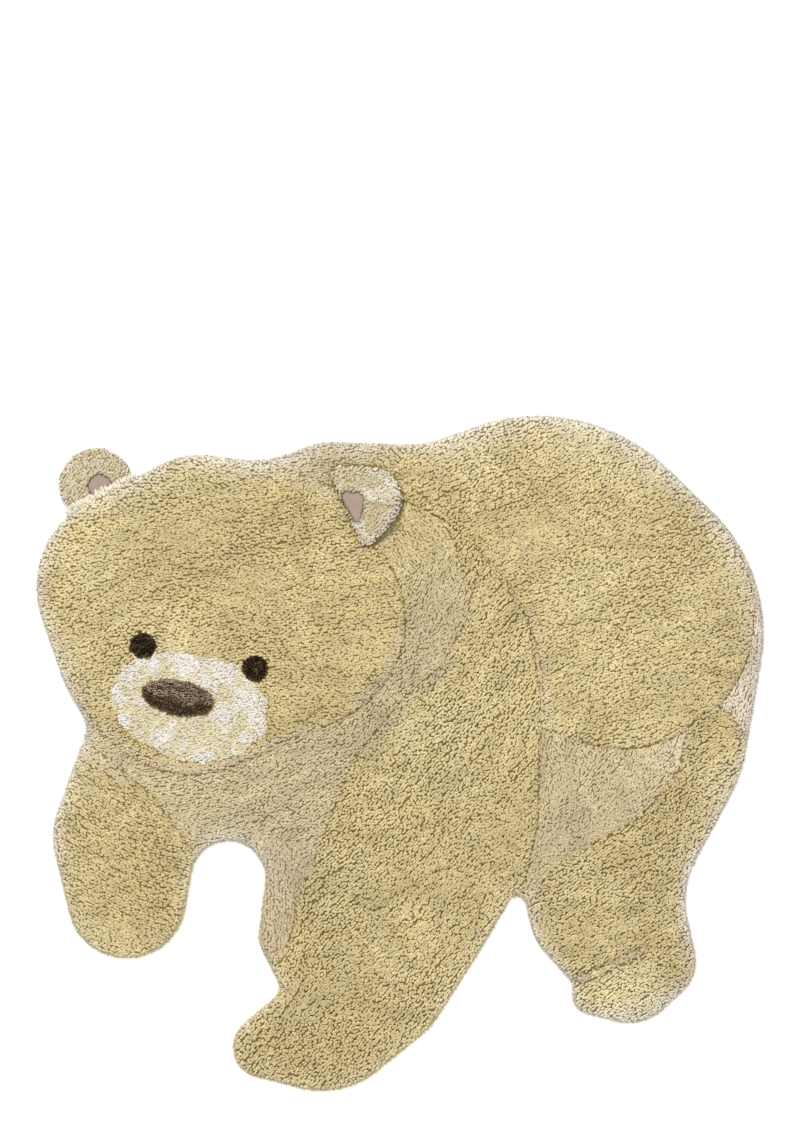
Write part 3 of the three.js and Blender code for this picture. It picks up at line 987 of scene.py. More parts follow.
def opened(
    tufts: Tufts, border: np.ndarray, away: Points, reach: float = 5 * MM, push: float = 2.4 * MM
) -> Tufts:
    """Leans tufts away from the carved line that they stand beside, so that the line opens.

    Args:
        tufts: The tufts.
        border: Distance of each to the nearest carved line.
        away: Unit way from the line to each.
        reach: How far from the line it is felt.
        push: How far the tips give way.

    Returns:
        The tufts, with their tips moved.
    """
    fitful = 0.25 + 0.75 * smoothstep(SmoothNoise(31).layered(tufts.root[:, :2], 0.035), -0.35, 0.4)
    tufts.tip[:, :2] += away * (push * fitful * np.exp(-((border / reach) ** 2)))[:, None]
    return tufts


def joined(parts: list[Tufts]) -> Tufts:
    """Puts beds of tufts together."""
    names = ("root", "tip", "radius", "along", "dye")
    return Tufts(*[np.concatenate([getattr(part, name) for part in parts]) for name in names], parts[0].oval)


def rounded(z: np.ndarray, wall: float, depth: np.ndarray, reach: float) -> np.ndarray:
    """Rounds a height down to its wall near the rim."""
    share = 1 - np.clip(depth / reach, 0, 1)
    return wall + (z - wall) * np.sqrt(1 - share * share)


# ---------------------------------------------------------------- sub-assemblies


def layer(
    name: str,
    rim: Polygon,
    low: float,
    step: float,
    inset: float,
    height: Callable[[Points, np.ndarray], np.ndarray],
) -> bpy.types.Object:
    """Makes a closed layer inside a rim, flat below and uneven above.

    Args:
        name: The piece's name.
        rim: The outline's corners in order.
        low: Height of the underside.
        step: Size of the mesh.
        inset: How far the layer stays inside the rim.
        height: Gives the height of the top from places and their depth inside the rim.

    Returns:
        The mesh object.
    """
    first = rim.min(0) - 2 * step
    counts = np.ceil((rim.max(0) - rim.min(0)) / step).astype(int) + 5
    u, v = np.meshgrid(np.arange(counts[0]), np.arange(counts[1]), indexing="ij")
    flat = np.stack([u, v], -1).reshape(-1, 2) * step + first
    depth, way = rim_distance(flat, rim)
    keep = depth > inset - 0.7 * step
    flat = flat - way * np.clip(inset - depth, 0, None)[:, None]
    number = (u * counts[1] + v)[:-1, :-1].ravel()
    quads = np.stack([number, number + counts[1], number + counts[1] + 1, number + 1], 1)
    quads = quads[keep[quads].all(1)]
    used, again = np.unique(quads, return_inverse=True)
    quads, flat = again.reshape(-1, 4), flat[used]
    depth = np.maximum(depth[used], inset)
    count = len(flat)
    corners = np.vstack([np.column_stack([flat, z]) for z in (height(flat, depth), np.full(count, low))])
    edges = {(int(a), int(b)) for q in quads for a, b in zip(q, np.roll(q, -1))}
    open_edges = np.array(sorted(e for e in edges if e[::-1] not in edges))
    start, end = open_edges.T
    walls = np.column_stack([end, start, start + count, end + count])
    return new_mesh(name, corners, [quads, quads[:, ::-1] + count, walls])


def place(piece: bpy.types.Object, slot: str, finish: bpy.types.Material, *nodes: str) -> bpy.types.Object:
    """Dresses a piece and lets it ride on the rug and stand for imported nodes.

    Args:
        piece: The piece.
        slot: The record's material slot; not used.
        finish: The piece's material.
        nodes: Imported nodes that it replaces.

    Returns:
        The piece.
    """
    piece.data.materials.append(finish)
    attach(piece, "root")
    if nodes:
        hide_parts(*nodes)
    LOG.info("%s: %d faces", piece.name, len(piece.data.polygons))
    return piece


NO_BORDER = 1.0  # a distance at which no carved line is felt
# Rows of tufts that follow the rim: how far in their roots stand, how far out their tips lean and how
# high those rise, all in millimetres, and a seed.
RIM_ROWS = ((3.0, 2.6, 6.3, 41), (6.0, 3.6, 9.2, 43), (9.0, 4.4, 11.6, 47))
EAR_FRINGE = ((2.0, 13.0, 13.6, 51), (3.5, 9.0, 14.6, 52), (5.0, 12.0, 15.2, 53), (8.0, 8.0, 15.8, 57))


@dataclass
class Body:
    """The rug's body: canvas, packed yarn and the pile in its fields."""

    long_mm: float = 16.0
    short_mm: float = 12.0
    muzzle_mm: float = 14.5
    nose_mm: float = 19.0
    wall_mm: float = 6.0
    rim_round_mm: float = 18.0
    step_mm: float = 14.0
    canvas_mm: float = 1.6
    packed_mesh_mm: float = 8.0
    rim_row_mm: float = 3.0
    under_ear_mm: float = 8.5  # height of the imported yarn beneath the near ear
    chin_top_mm: float = 90.0  # the y below which the muzzle has a carved border
    carving_mm: float = 3.0
    carving_reach_mm: float = 4.0
    face: Face = field(default_factory=Face)

    def __post_init__(self) -> None:
        """Reads the outlines that the pile has to fit."""
        self.rim = node_rim("rug_body")
        self.ear_rim = node_rim("near_ear")
        self.eyes = [node_rim("left_eye"), node_rim("right_eye")]
        nose = self.face.own(np.concatenate([node_rim("nose_bridge"), node_rim("nose_underside")]))
        self.nose_middle, self.nose_half = (nose.min(0) + nose.max(0)) / 2, (nose.max(0) - nose.min(0)) / 2
        self.kinds = [(f.name, f.rows_deg, f.gauge) for f in FIELDS]
        self.kinds += [("shaded", s.rows_deg, FINE_PILE if s.name == "far_leg" else CLIPPED_PILE) for s in SHADES]
        self.kinds += [("muzzle", 12.0, MUZZLE_PILE)]

    def nose_depth(self, points: Points) -> np.ndarray:
        """Measures inside the nose's oval, whose two pieces share one outline.

        Args:
            points: Places on the rug, one row each.

        Returns:
            The depth of each place, negative outside, in metres.
        """
        share = np.hypot(*((self.face.own(points) - self.nose_middle) / self.nose_half).T)
        return (1 - share) * self.nose_half[1] * MM

    def home(self, points: Points) -> tuple[np.ndarray, np.ndarray]:
        """Finds the field that each place belongs to.

        Args:
            points: Places on the rug, one row each.

        Returns:
            The field's number, with the shades after the long fields and the muzzle last, and the
            distance to the nearest border between fields.
        """
        depths = np.stack([f.depth(points) for f in FIELDS], 1)
        crease = chain_depth(points, TOE_CREASE)
        muzzle = self.face.muzzle_depth(points)
        shades = np.stack([from_middle(points, shade) for shade in SHADES], 1)
        home = depths.argmax(1)
        shaded = (depths.max(1) < 0) | (crease > 0)
        home = np.where(shaded, len(FIELDS) + shades.argmin(1), home)
        home = np.where(muzzle > 0, MUZZLE_HOME, home)
        ordered = np.sort(depths, 1)
        halfway = np.abs(ordered[:, -1] - ordered[:, -2]) / 2
        between = np.where(ordered[:, -2] > 0, halfway, np.abs(depths).min(1))
        between = np.where(muzzle > 12 * MM, NO_BORDER, between)
        chin = np.where(points[:, 1] < self.chin_top_mm * MM, np.abs(muzzle) + 2 * MM, NO_BORDER)
        border = np.minimum(np.minimum(between, np.abs(crease)), chin)
        warped = points + np.stack([GUSTS.at(points, 0.03), PATCHES.at(points, 0.03)], 1) * 9 * MM
        wrinkle = np.stack([chain_depth(warped, chain) for chain in CREASES], 1).max(1)
        return home, np.minimum(border, np.clip(-wrinkle, 0, 1))

    def away(self, points: Points) -> Points:
        """Finds the way from the nearest carved line to each place.

        Args:
            points: Places on the rug, one row each.

        Returns:
            One unit way for each place.
        """
        steps = 0.7 * MM * np.eye(2)
        slope = np.stack([self.home(points + step)[1] - self.home(points - step)[1] for step in steps], 1)
        return slope / np.maximum(np.hypot(*slope.T), 1e-9)[:, None]

    def top(self, points: Points, depth: np.ndarray, border: np.ndarray) -> np.ndarray:
        """Measures the pile, carved along the borders of its fields and rounded at the rim.

        Args:
            points: Places on the rug, one row each.
            depth: Depth of each inside the rim.
            border: Distance of each to the nearest carved line.

        Returns:
            The height of the pile at each place.
        """
        half = self.step_mm / 2 * MM
        inside = np.stack([f.depth(points) for f in FIELDS], 1).max(1)
        z = self.short_mm + (self.long_mm - self.short_mm) * smoothstep(inside, -half, half)
        z = mixed(z, self.short_mm, smoothstep(chain_depth(points, TOE_CREASE), -half, half))
        z = mixed(z, self.muzzle_mm, smoothstep(self.face.muzzle_depth(points), -half, half))
        carved = self.carving_mm * np.exp(-((border / (self.carving_reach_mm * MM)) ** 2))
        z = z + 0.7 * PATCHES.at(points, 0.08) - carved
        return rounded(z, self.wall_mm, depth, self.rim_round_mm * MM) * MM

    def dyes(self, points: Points, depth: np.ndarray, home: np.ndarray) -> np.ndarray:
        """Dyes each tuft: its field's yarn, in uneven patches, and paler at the rim.

        Args:
            points: Places on the rug, one row each.
            depth: Depth of each inside the rim.
            home: The number of each one's field.

        Returns:
            One linear colour for each place.
        """
        is_muzzle = (home == MUZZLE_HOME)[:, None]
        fine = PATCHES.layered(points + 3.1, 0.035)
        colour = self._field_dyes(points, fine[:, None])
        for band in BANDS:
            laid = self._share_of_band(band, points, depth)[:, None]
            colour = mixed(colour, linear(band.dye), laid)
        for disc, share in TONES:
            near = np.clip(1 - from_middle(points, disc) / (disc.r * MM), 0, 1)
            near = (smoothstep(near + 0.25 * fine * (near > 0), 0, 0.7) * abs(share))[:, None]
            colour = mixed(colour, linear(Dye.PALE_STRAW) if share > 0 else np.zeros(3), near)
        colour = np.where(is_muzzle, self._muzzle_dyes(points), colour)
        lock = np.where(is_muzzle, 0.4, 1.0) * self._locks(points, home)[:, None]
        hue = GUSTS.layered(points + 5.3, 0.045)[:, None]
        colour = colour * (1 + lock) * (1 + hue * np.array([0.008, 0.0, -0.025]))
        # Near the rim the low places at the legs pale to straw, the others to cream.
        straw = 0.8 * (smoothstep(-points[:, 1], 0.15, 0.3) * (points[:, 0] < 0.25))[:, None]
        rim_pale = mixed(linear(Dye.RIM_CREAM), linear(Dye.PALE_STRAW), straw)
        return mixed(colour, rim_pale, self._rim_paling(points, depth, home)[:, None])

    def _field_dyes(self, points: Points, fine: np.ndarray) -> np.ndarray:
        """Dyes the long fields and the shaded ones between them.

        Args:
            points: Places on the rug, one row each.
            fine: The smaller patches of the yarn at each.

        Returns:
            One linear colour for each place.
        """
        cloud = PATCHES.layered(points, 0.16)[:, None]
        mood = cloud * 0.9 + fine * 0.5
        ochre, straw, deep = linear(Dye.OCHRE), linear(Dye.STRAW), linear(Dye.OCHRE_DEEP)
        long = ochre + np.clip(mood, 0, 1) * (straw - ochre) + np.clip(-mood, 0, 1) * (deep - ochre)
        weight = np.exp(-np.stack([from_middle(points, shade) for shade in SHADES], 1) / 0.05)
        shaded = (weight / weight.sum(1, keepdims=True)) @ np.stack([linear(shade.dye) for shade in SHADES])
        shaded = shaded * (1 + 0.06 * cloud + 0.04 * fine)
        inside = np.stack([f.depth(points) for f in FIELDS], 1).max(1) + 5 * MM * GUSTS.layered(points, 0.03)
        inside = np.minimum(inside, -chain_depth(points, TOE_CREASE) - 2 * MM)
        return mixed(shaded, long, smoothstep(inside, -7 * MM, 7 * MM)[:, None])

    def _muzzle_dyes(self, points: Points) -> np.ndarray:
        """Dyes the muzzle, straw with white patches and flecks.

        Args:
            points: Places on the rug, one row each.

        Returns:
            One linear colour for each place.
        """
        at = self.face.own(points)
        patch = np.stack([d.r - np.hypot(at[:, 0] - d.x, at[:, 1] - d.y) for d in WHITE_PATCHES], 1).max(1)
        white = smoothstep(patch + 13 * GUSTS.layered(at * MM, 0.017), -9, 11)
        white = np.maximum(white, 0.75 * smoothstep(GUSTS.at(at * MM, 0.012), 0.15, 0.6))
        return mixed(linear(Dye.MUZZLE_STRAW), linear(Dye.MUZZLE_WHITE), white[:, None])

    def _share_of_band(self, band: Band, points: Points, depth: np.ndarray) -> np.ndarray:
        """Finds how much of a band's yarn lies at each place.

        Args:
            band: The band.
            points: Places on the rug, one row each.
            depth: Depth of each inside the rim.

        Returns:
            The share of the band's yarn, from 0 to 1.
        """
        inset = depth if band.border == "rim" else next(f for f in FIELDS if f.name == band.border).depth(points)
        inset = inset + 3 * MM * GUSTS.at(points, 0.02)
        near = band.within.r * MM - from_middle(points, band.within)
        ended = smoothstep(inset, (band.width_mm - 3) * MM, (band.width_mm + 4) * MM)
        laid = smoothstep(inset, -3 * MM, 1 * MM) * (1 - ended)
        return laid * band.share * smoothstep(near, 0, 30 * MM)

    def _locks(self, points: Points, home: np.ndarray) -> np.ndarray:
        """Finds the light and dark locks, drawn out along the rows.

        Args:
            points: Places on the rug, one row each.
            home: The number of each one's field.

        Returns:
            How much lighter each place is than its dye, as a share.
        """
        rows_deg = np.array([deg for _, deg, _ in self.kinds])[home]
        turn = np.radians(rows_deg + 35 * GUSTS.at(points, 0.2))
        c, s = np.cos(turn), np.sin(turn)
        laid = np.stack([points[:, 0] * c + points[:, 1] * s, points[:, 1] * c - points[:, 0] * s], 1)
        small = PATCHES.at(laid * [0.28, 1.0] + 1.7, 0.012)
        return small * 0.1 + GUSTS.at(laid * [0.35, 1.0] + 4.1, 0.021) * 0.06

    def _rim_paling(self, points: Points, depth: np.ndarray, home: np.ndarray) -> np.ndarray:
        """Finds how pale each place is, most of all at the rim.

        Args:
            points: Places on the rug, one row each.
            depth: Depth of each inside the rim.
            home: The number of each one's field.

        Returns:
            The share of the paler colour, from 0 to 0.88.
        """
        at_rump = (points[:, 0] > 0.5) & (home >= len(FIELDS)) & (home < MUZZLE_HOME)
        rim_pale = np.stack([1 - from_middle(points, disc) / (disc.r * MM) for disc in WIDE_RIM_PALE], 1)
        rim_pale = np.clip(rim_pale.max(1) * 2, 0, 1)
        reach = np.where(at_rump, 6.0, 13.0 + 5.0 * GUSTS.at(points, 0.05) + 13.0 * rim_pale) * MM
        return 0.88 * np.exp(-np.clip(depth - 2 * MM, 0, 1) / reach)

    def build_canvas(self) -> bpy.types.Object:
        """Builds the woven canvas that the tufts are pushed through.

        Returns:
            The canvas.
        """

        def height(at: Points, depth: np.ndarray) -> np.ndarray:
            """Lies flat."""
            return np.full(len(at), self.canvas_mm * MM)

        canvas = layer("canvas", self.rim, 0.0, 25 * MM, 2.5 * MM, height)
        return place(canvas, "ochre_pile", WovenCotton("plain_canvas", Dye.CANVAS, 1.2).make(), "rug_body")

    def build_packed_yarn(self, cotton: bpy.types.Material) -> bpy.types.Object:
        """Builds the yarn between the tufts' ends, where they stand packed side by side.

        Args:
            cotton: The pile's material.

        Returns:
            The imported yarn.
        """
        below = np.array([gauge.below for _, _, gauge in self.kinds])

        def height(at: Points, depth: np.ndarray) -> np.ndarray:
            """Stays a little under the tips, and low beneath the near ear."""
            home, border = self.home(at)
            z = self.top(at, depth, border)
            z = np.where(self.nose_depth(at) > 0, self.nose_mm * MM, z)
            z = z - below[home] * MM + 0.5 * MM * GUSTS.at(at, 0.016)
            return np.where(depth_in(at, self.ear_rim) > -3 * MM, np.minimum(z, self.under_ear_mm * MM), z)

        low, step = self.canvas_mm * MM + 0.2 * MM, self.packed_mesh_mm * MM
        packed = layer("packed_yarn", self.rim, low, step, 4.5 * MM, height)
        at = vertex_places(packed)[:, :2]
        home, _ = self.home(at)
        colour = self.dyes(at, depth_in(at, self.rim), home)
        # The packed yarn under the muzzle is dyed lighter, so that its painted shade stays pale.
        colour[home == MUZZLE_HOME] *= 1.4
        colour[self.nose_depth(at) > 0] = linear(Dye.DARK_WARM)
        for eye in self.eyes:
            colour[depth_in(at, eye) > 0] = linear(Dye.DARK)
        dye_packed(packed, colour)
        return place(packed, "ochre_pile", cotton)

    def build_pile(self, cotton: bpy.types.Material) -> list[bpy.types.Object]:
        """Builds the tufts of every field and of the rim.

        Args:
            cotton: The pile's material.

        Returns:
            The beds, one for each name of a field and one for the rim.
        """
        beds: dict[str, list[Tufts]] = {}
        for number, (name, deg, gauge) in enumerate(self.kinds):
            beds.setdefault(name, []).append(self._field_bed(number, deg, gauge))
        beds["rim"] = [self._rim_row(*row) for row in RIM_ROWS]
        beds["rim"] += [self._rim_row(*row, over=node_rim("far_ear")) for row in EAR_FRINGE]
        piles = [joined(parts).build(f"pile_{name}", 900 + i) for i, (name, parts) in enumerate(beds.items())]
        return [place(pile, "ochre_pile", cotton) for pile in piles]

    def _field_bed(self, number: int, deg: float, gauge: Gauge) -> Tufts:
        """Lays the tufts of one field or shade, clear of the inlays and of the near ear.

        Args:
            number: The field's number.
            deg: The way its rows run.
            gauge: How its tufts stand and fall.

        Returns:
            The tufts.
        """
        places, own = rows_over(self.rim, deg, gauge, 100 + number)
        mine = self.home(places)[0] == number
        bed = Bed.inside(self.rim, places[mine], own[mine])
        clear = (bed.depth > 7.5 * MM) & (depth_in(bed.places, self.ear_rim) < 0.5 * MM)
        clear &= self.nose_depth(bed.places) < -0.8 * MM
        for eye in self.eyes:
            clear &= depth_in(bed.places, eye) < -1.2 * MM
        bed = bed.kept(clear)
        home, border = self.home(bed.places)
        beside = np.exp(-((depth_in(bed.places, self.ear_rim) / (7 * MM)) ** 2))
        painted_shadow = np.exp(-(((chain_depth(bed.places, EAR_PAINTED_SHADOW) - 4 * MM) / (5 * MM)) ** 2))
        tops = self.top(bed.places, bed.depth, border) - 3.5 * MM * beside
        roots = np.maximum(tops - 8.5 * MM, self.canvas_mm * MM)
        # Tufts beside the near ear are dyed a little darker, and those under its free edge much darker: painted shade
        # and painted shadow.
        dyes = self.dyes(bed.places, bed.depth, home) * (1 - 0.12 * beside - 0.55 * painted_shadow)[:, None]
        return opened(fallen(bed, tops, roots, dyes, deg, gauge, 500 + number), border, self.away(bed.places))

    def _rim_row(self, inset: float, out: float, rise: float, seed: int, over: Polygon | None = None) -> Tufts:
        """Lays a row that follows the rim and leans out over it.

        Args:
            inset: Distance of the roots from the rim, in millimetres.
            out: How far the tips lean outwards.
            rise: Height of the tips.
            seed: Seed of the tufts' differences.
            over: The rim of a neighbour; the row is laid only where it lies beside that.

        Returns:
            The row.
        """
        rng = np.random.default_rng(seed)
        places, outward = evenly(self.rim, self.rim_row_mm * MM)
        places = places - outward * inset * MM + rng.normal(0, 0.5 * MM, places.shape)
        places = places[depth_in(places, self.rim) > (inset - 1.8) * MM]
        if over is not None:
            places = places[depth_in(places, over) > -(inset + 3) * MM]
        depth, way = rim_distance(places, self.rim)
        count = len(places)
        home, _ = self.home(places)
        astray, thick = (0.8 * MM, 2.3 * MM) if over is None else (2.4 * MM, 3.3 * MM)
        ends = places + way * out * MM + rng.normal(0, astray, (count, 2))
        tip = np.column_stack([ends, rise * MM + rng.normal(0, 0.8 * MM, count)])
        root = np.column_stack([places, np.full(count, self.canvas_mm * MM)])
        along = np.stack([-way[:, 1], way[:, 0]], 1)
        radius = thick * np.clip(rng.normal(1.0, 0.2, count), 0.6, 1.4)
        return Tufts(root, tip, radius, along, self.dyes(places, depth, home), oval=0.8)

    def build_whiskers(self, fluff: bpy.types.Material) -> bpy.types.Object:
        """Builds the loose fibres that lie outwards over the rim.

        Args:
            fluff: The fibres' material.

        Returns:
            The fibres.
        """
        rng = np.random.default_rng(77)
        rims = [evenly(node_rim(name), 1.5 * MM) for name in ("rug_body", "far_ear")]
        edge, outward = (np.vstack(rows) for rows in zip(*rims))
        count = len(edge)
        turn = rng.normal(0, 0.35, count)
        c, s = np.cos(turn), np.sin(turn)
        way = np.stack([outward[:, 0] * c - outward[:, 1] * s, outward[:, 0] * s + outward[:, 1] * c], 1)
        start = edge - outward * rng.uniform(5, 13, count)[:, None] * MM
        length = rng.uniform(4, 9, count)[:, None] * MM
        low = np.column_stack([start, rng.uniform(9.5, 13.0, count) * MM])
        tip = np.column_stack([start + way * length, rng.uniform(6.0, 9.5, count) * MM])
        side = np.column_stack([-way[:, 1], way[:, 0], np.zeros(count)]) * 0.35 * MM
        corners = np.stack([low + side, low - side, low + [0, 0, 0.5 * MM], tip], 1).reshape(-1, 3)
        faces = np.array([[0, 1, 3], [1, 2, 3], [2, 0, 3]])[None] + (np.arange(count) * 4)[:, None, None]
        return place(new_mesh("rim_whiskers", corners, [faces.reshape(-1, 3)]), "ochre_pile", fluff)


FREE_EDGE = 0.2  # an edge whose outward way has at least this share of +X is the near ear's free one


@dataclass
class Inlay:
    """A patch of short dense pile set into the body: an eye or a part of the nose."""

    node: str
    slot: str
    top_mm: float
    rows_deg: float
    dye: Dye
    streak_dye: Dye
    streak_mm: float = 6.0
    speckle: float = 0.22  # how much one tuft's tone differs from the next
    edge_round_mm: float = 4.0
    wall_mm: float = 2.6  # from the inlay's rim up to its top

    def build(self, cotton: bpy.types.Material, seed: int) -> bpy.types.Object:
        """Builds the inlay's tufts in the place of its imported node.

        Args:
            cotton: The pile's material.
            seed: Seed of the tufts' differences.

        Returns:
            The inlay's pile.
        """
        rim = node_rim(self.node)
        bed = Bed.inside(rim, *rows_over(rim, self.rows_deg, SHORT_PILE, seed))
        bed = bed.kept(bed.depth > 1.0 * MM)
        count, wall = len(bed.places), self.top_mm - self.wall_mm
        tops = rounded(np.full(count, self.top_mm), wall, bed.depth, self.edge_round_mm * MM) * MM
        c, s = cos_sin(self.rows_deg)
        bed.own = bed.places @ np.array([[c, -s], [s, c]]) * np.array([0.3, 1.0])
        mix = smoothstep(SmoothNoise(seed + 1).at(bed.own, self.streak_mm * MM), -0.5, 0.7)[:, None]
        dye = mixed(linear(self.dye), linear(self.streak_dye), mix)
        dye = dye * np.exp(np.random.default_rng(seed + 5).normal(0, self.speckle, count))[:, None]
        bed.depth = bed.depth + 20 * MM  # the pile around holds the inlay's tufts upright
        tufts = fallen(bed, tops, tops - 6 * MM, dye, self.rows_deg, SHORT_PILE, seed + 2)
        return place(tufts.build(f"pile_{self.node}", seed + 3), self.slot, cotton, self.node)


@dataclass
class Ear:
    """A padded ear of cream pile with a smooth cotton lining let into it."""

    node: str
    lining: str
    seat_mm: float
    thick_mm: float
    rows_deg: float
    lining_top_mm: float
    white_from_x: float = 1.0  # places further to the right than this are whiter near the edge, in metres
    pale_from_x: float = -1.0  # places further to the right than this have a paler edge
    pale_edge: float = 0.65
    mottling: float = 0.15
    bound_y: tuple[float, float] = (0.0, 0.0)  # the stretch of the free edge where thread presses the pile down
    pucker_mm: float = 0.4

    def __post_init__(self) -> None:
        """Reads the ear's outlines."""
        self.rim, self.hole = node_rim(self.node), node_rim(self.lining)

    def top(self, depth: np.ndarray) -> np.ndarray:
        """Height of the pile, rounded at the ear's edge."""
        full = np.full(len(depth), self.thick_mm)
        return (self.seat_mm + rounded(full, 0.45 * self.thick_mm, depth, 12 * MM)) * MM

    def build(self, cotton: bpy.types.Material, cloth: bpy.types.Material, seed: int) -> list[bpy.types.Object]:
        """Builds the ear's backing with its packed yarn, its tufts and its lining.

        Args:
            cotton: The pile's material.
            cloth: The lining's material.
            seed: Seed of the ear's noise and tufts.

        Returns:
            The backing, the pile and the lining.
        """
        noise = SmoothNoise(seed)

        def packed(at: Points, depth: np.ndarray) -> np.ndarray:
            """Stays under the tips, and lower beneath the lining."""
            under_lining = (self.lining_top_mm - 2.2) * MM
            return np.where(depth_in(at, self.hole) > -2 * MM, under_lining, self.top(depth) - EAR_PILE.below * MM)

        low = (self.seat_mm + 0.05) * MM
        backing = layer(f"{self.node}_backing", self.rim, low, 4 * MM, 1.6 * MM, packed)
        dye_packed(backing, np.tile(linear(Dye.EAR), (len(backing.data.vertices), 1)))
        place(backing, "ear_pile", cotton, self.node)
        bed = Bed.inside(self.rim, *rows_over(self.rim, self.rows_deg, EAR_PILE, seed + 1))
        bed = bed.kept((bed.depth > 2.4 * MM) & (depth_in(bed.places, self.hole) < -1.6 * MM))
        tops = self.top(bed.depth)
        roots = np.maximum(tops - 7 * MM, (self.seat_mm + 0.2) * MM)
        tufts = fallen(bed, tops, roots, self._dyes(bed, noise), self.rows_deg, EAR_PILE, seed + 2)
        pile = place(tufts.build(f"{self.node}_pile", seed + 3), "ear_pile", cotton)

        def puckered(at: Points, depth: np.ndarray) -> np.ndarray:
            """Rises and falls a little, as cotton does between its seams."""
            return (self.lining_top_mm + self.pucker_mm * noise.at(at, 0.012)) * MM

        low = (self.lining_top_mm - 1.5) * MM
        patch = layer(f"{self.lining}_cloth", self.hole, low, 2 * MM, 0.2 * MM, puckered)
        place(patch, "ear_lining", cloth, self.lining)
        area = float(abs(signed_area(self.hole)))
        return [backing, pile, patch]

    def _dyes(self, bed: Bed, noise: SmoothNoise) -> np.ndarray:
        """Dyes the ear's tufts: cream in patches, with pale mottling, a paler edge and painted shade round the
        lining.

        Args:
            bed: The tufts' places.
            noise: The ear's own noise.

        Returns:
            One linear colour for each tuft.
        """
        places, depth = bed.places, bed.depth
        mood = smoothstep(noise.layered(places, 0.03), -0.6, 0.6)[:, None]
        dye = mixed(linear(Dye.EAR_WARM), linear(Dye.EAR), mood)
        band = smoothstep(depth, 2 * MM, 7 * MM) * (1 - smoothstep(depth, 13 * MM, 20 * MM))
        band = (band * (places[:, 0] > self.white_from_x))[:, None]
        edge = ((1 - smoothstep(depth, 2 * MM, 12 * MM)) * (places[:, 0] > self.pale_from_x))[:, None]
        pale = self.mottling * smoothstep(noise.layered(places + 2.3, 0.022), -0.1, 0.4)[:, None]
        mottled = 0.4 + 0.6 * smoothstep(noise.layered(places + 6.1, 0.013), -0.3, 0.3)[:, None]
        dye = mixed(dye, linear(Dye.RIM_CREAM), pale)
        dye = mixed(dye, linear(Dye.MUZZLE_WHITE), 0.5 * band * mottled)
        dye = mixed(dye, linear(Dye.RIM_CREAM), self.pale_edge * edge * mottled)
        bound = (places[:, 1] > self.bound_y[0]) & (places[:, 1] < self.bound_y[1])
        bound &= (depth < 15 * MM) & (bed.outward[:, 0] > FREE_EDGE)
        # Tufts round the lining's edge are dyed darker: painted shade where the lining lies lower than the pile.
        painted_lining_shade = np.exp(-(((depth_in(places, self.hole) + 2 * MM) / (2.5 * MM)) ** 2))
        return dye * (np.where(bound, 0.78, 1.0) - 0.3 * painted_lining_shade)[:, None]


@dataclass
class Overlock:
    """Slanted loops of thread that bind the free edge of the near ear."""

    every_mm: float = 10.5
    reach_mm: float = 9.0
    inset_mm: float = 5.0
    thread_mm: float = 2.9  # a loop of several thin threads side by side
    low_y: float = 0.436
    high_y: float = 0.494

    SIDES = 5
    RINGS = 8

    def build(self, ear: Ear, thread: bpy.types.Material) -> bpy.types.Object:
        """Builds the loops along the part of the edge where they show.

        Args:
            ear: The ear that they bind.
            thread: The thread's material.

        Returns:
            The loops.
        """
        rng = np.random.default_rng(5)
        edge, outward = evenly(ear.rim, self.every_mm * MM)
        shown = (edge[:, 1] > self.low_y) & (edge[:, 1] < self.high_y) & (outward[:, 0] > FREE_EDGE)
        corners: list[np.ndarray] = []
        faces: list[list[int]] = []
        for number, (spot, out) in enumerate(zip(edge[shown], outward[shown])):
            along = np.array([-out[1], out[0]])
            slant = rng.uniform(-0.1, 0.7)
            path = self._path(ear, spot, out, slant, self.reach_mm * MM * rng.uniform(0.8, 1.15))
            run = unit(np.gradient(path, axis=0))
            first = unit(np.cross(run, [*along, 0.0]))
            second = np.cross(run, first)
            for side in range(self.SIDES):
                angle = 2 * math.pi * side / self.SIDES
                corners.append(path + (first * math.cos(angle) + second * math.sin(angle)) * self.thread_mm / 2 * MM)
                here = (number * self.SIDES + side) * self.RINGS
                beside = (number * self.SIDES + (side + 1) % self.SIDES) * self.RINGS
                faces += [[here + k, beside + k, beside + k + 1, here + k + 1] for k in range(self.RINGS - 1)]
        loops = new_mesh("near_ear_overlock", np.vstack(corners), [np.array(faces)])
        return place(loops, "ear_pile", thread)

    def _path(self, ear: Ear, spot: np.ndarray, out: np.ndarray, slant: float, reach: float) -> np.ndarray:
        """Leads one loop from the pile out to the ear's edge.

        Args:
            ear: The ear that it binds.
            spot: The place on the edge.
            out: The outward way there.
            slant: How far the loop leans along the edge, as a share of its reach.
            reach: The loop's length across the edge.

        Returns:
            The places along the middle of the thread.
        """
        along = np.array([-out[1], out[0]])
        path = []
        for k in range(self.RINGS):
            t = k / (self.RINGS - 1)
            inset = reach * (1 - t) + self.inset_mm * MM
            z = ear.top(np.array([inset + 2 * MM]))[0] + (2.0 + 0.6 * math.sin(math.pi * t)) * MM
            path.append(np.array([*(spot - out * inset + along * slant * reach * (0.5 - t)), z]))
        return np.array(path)


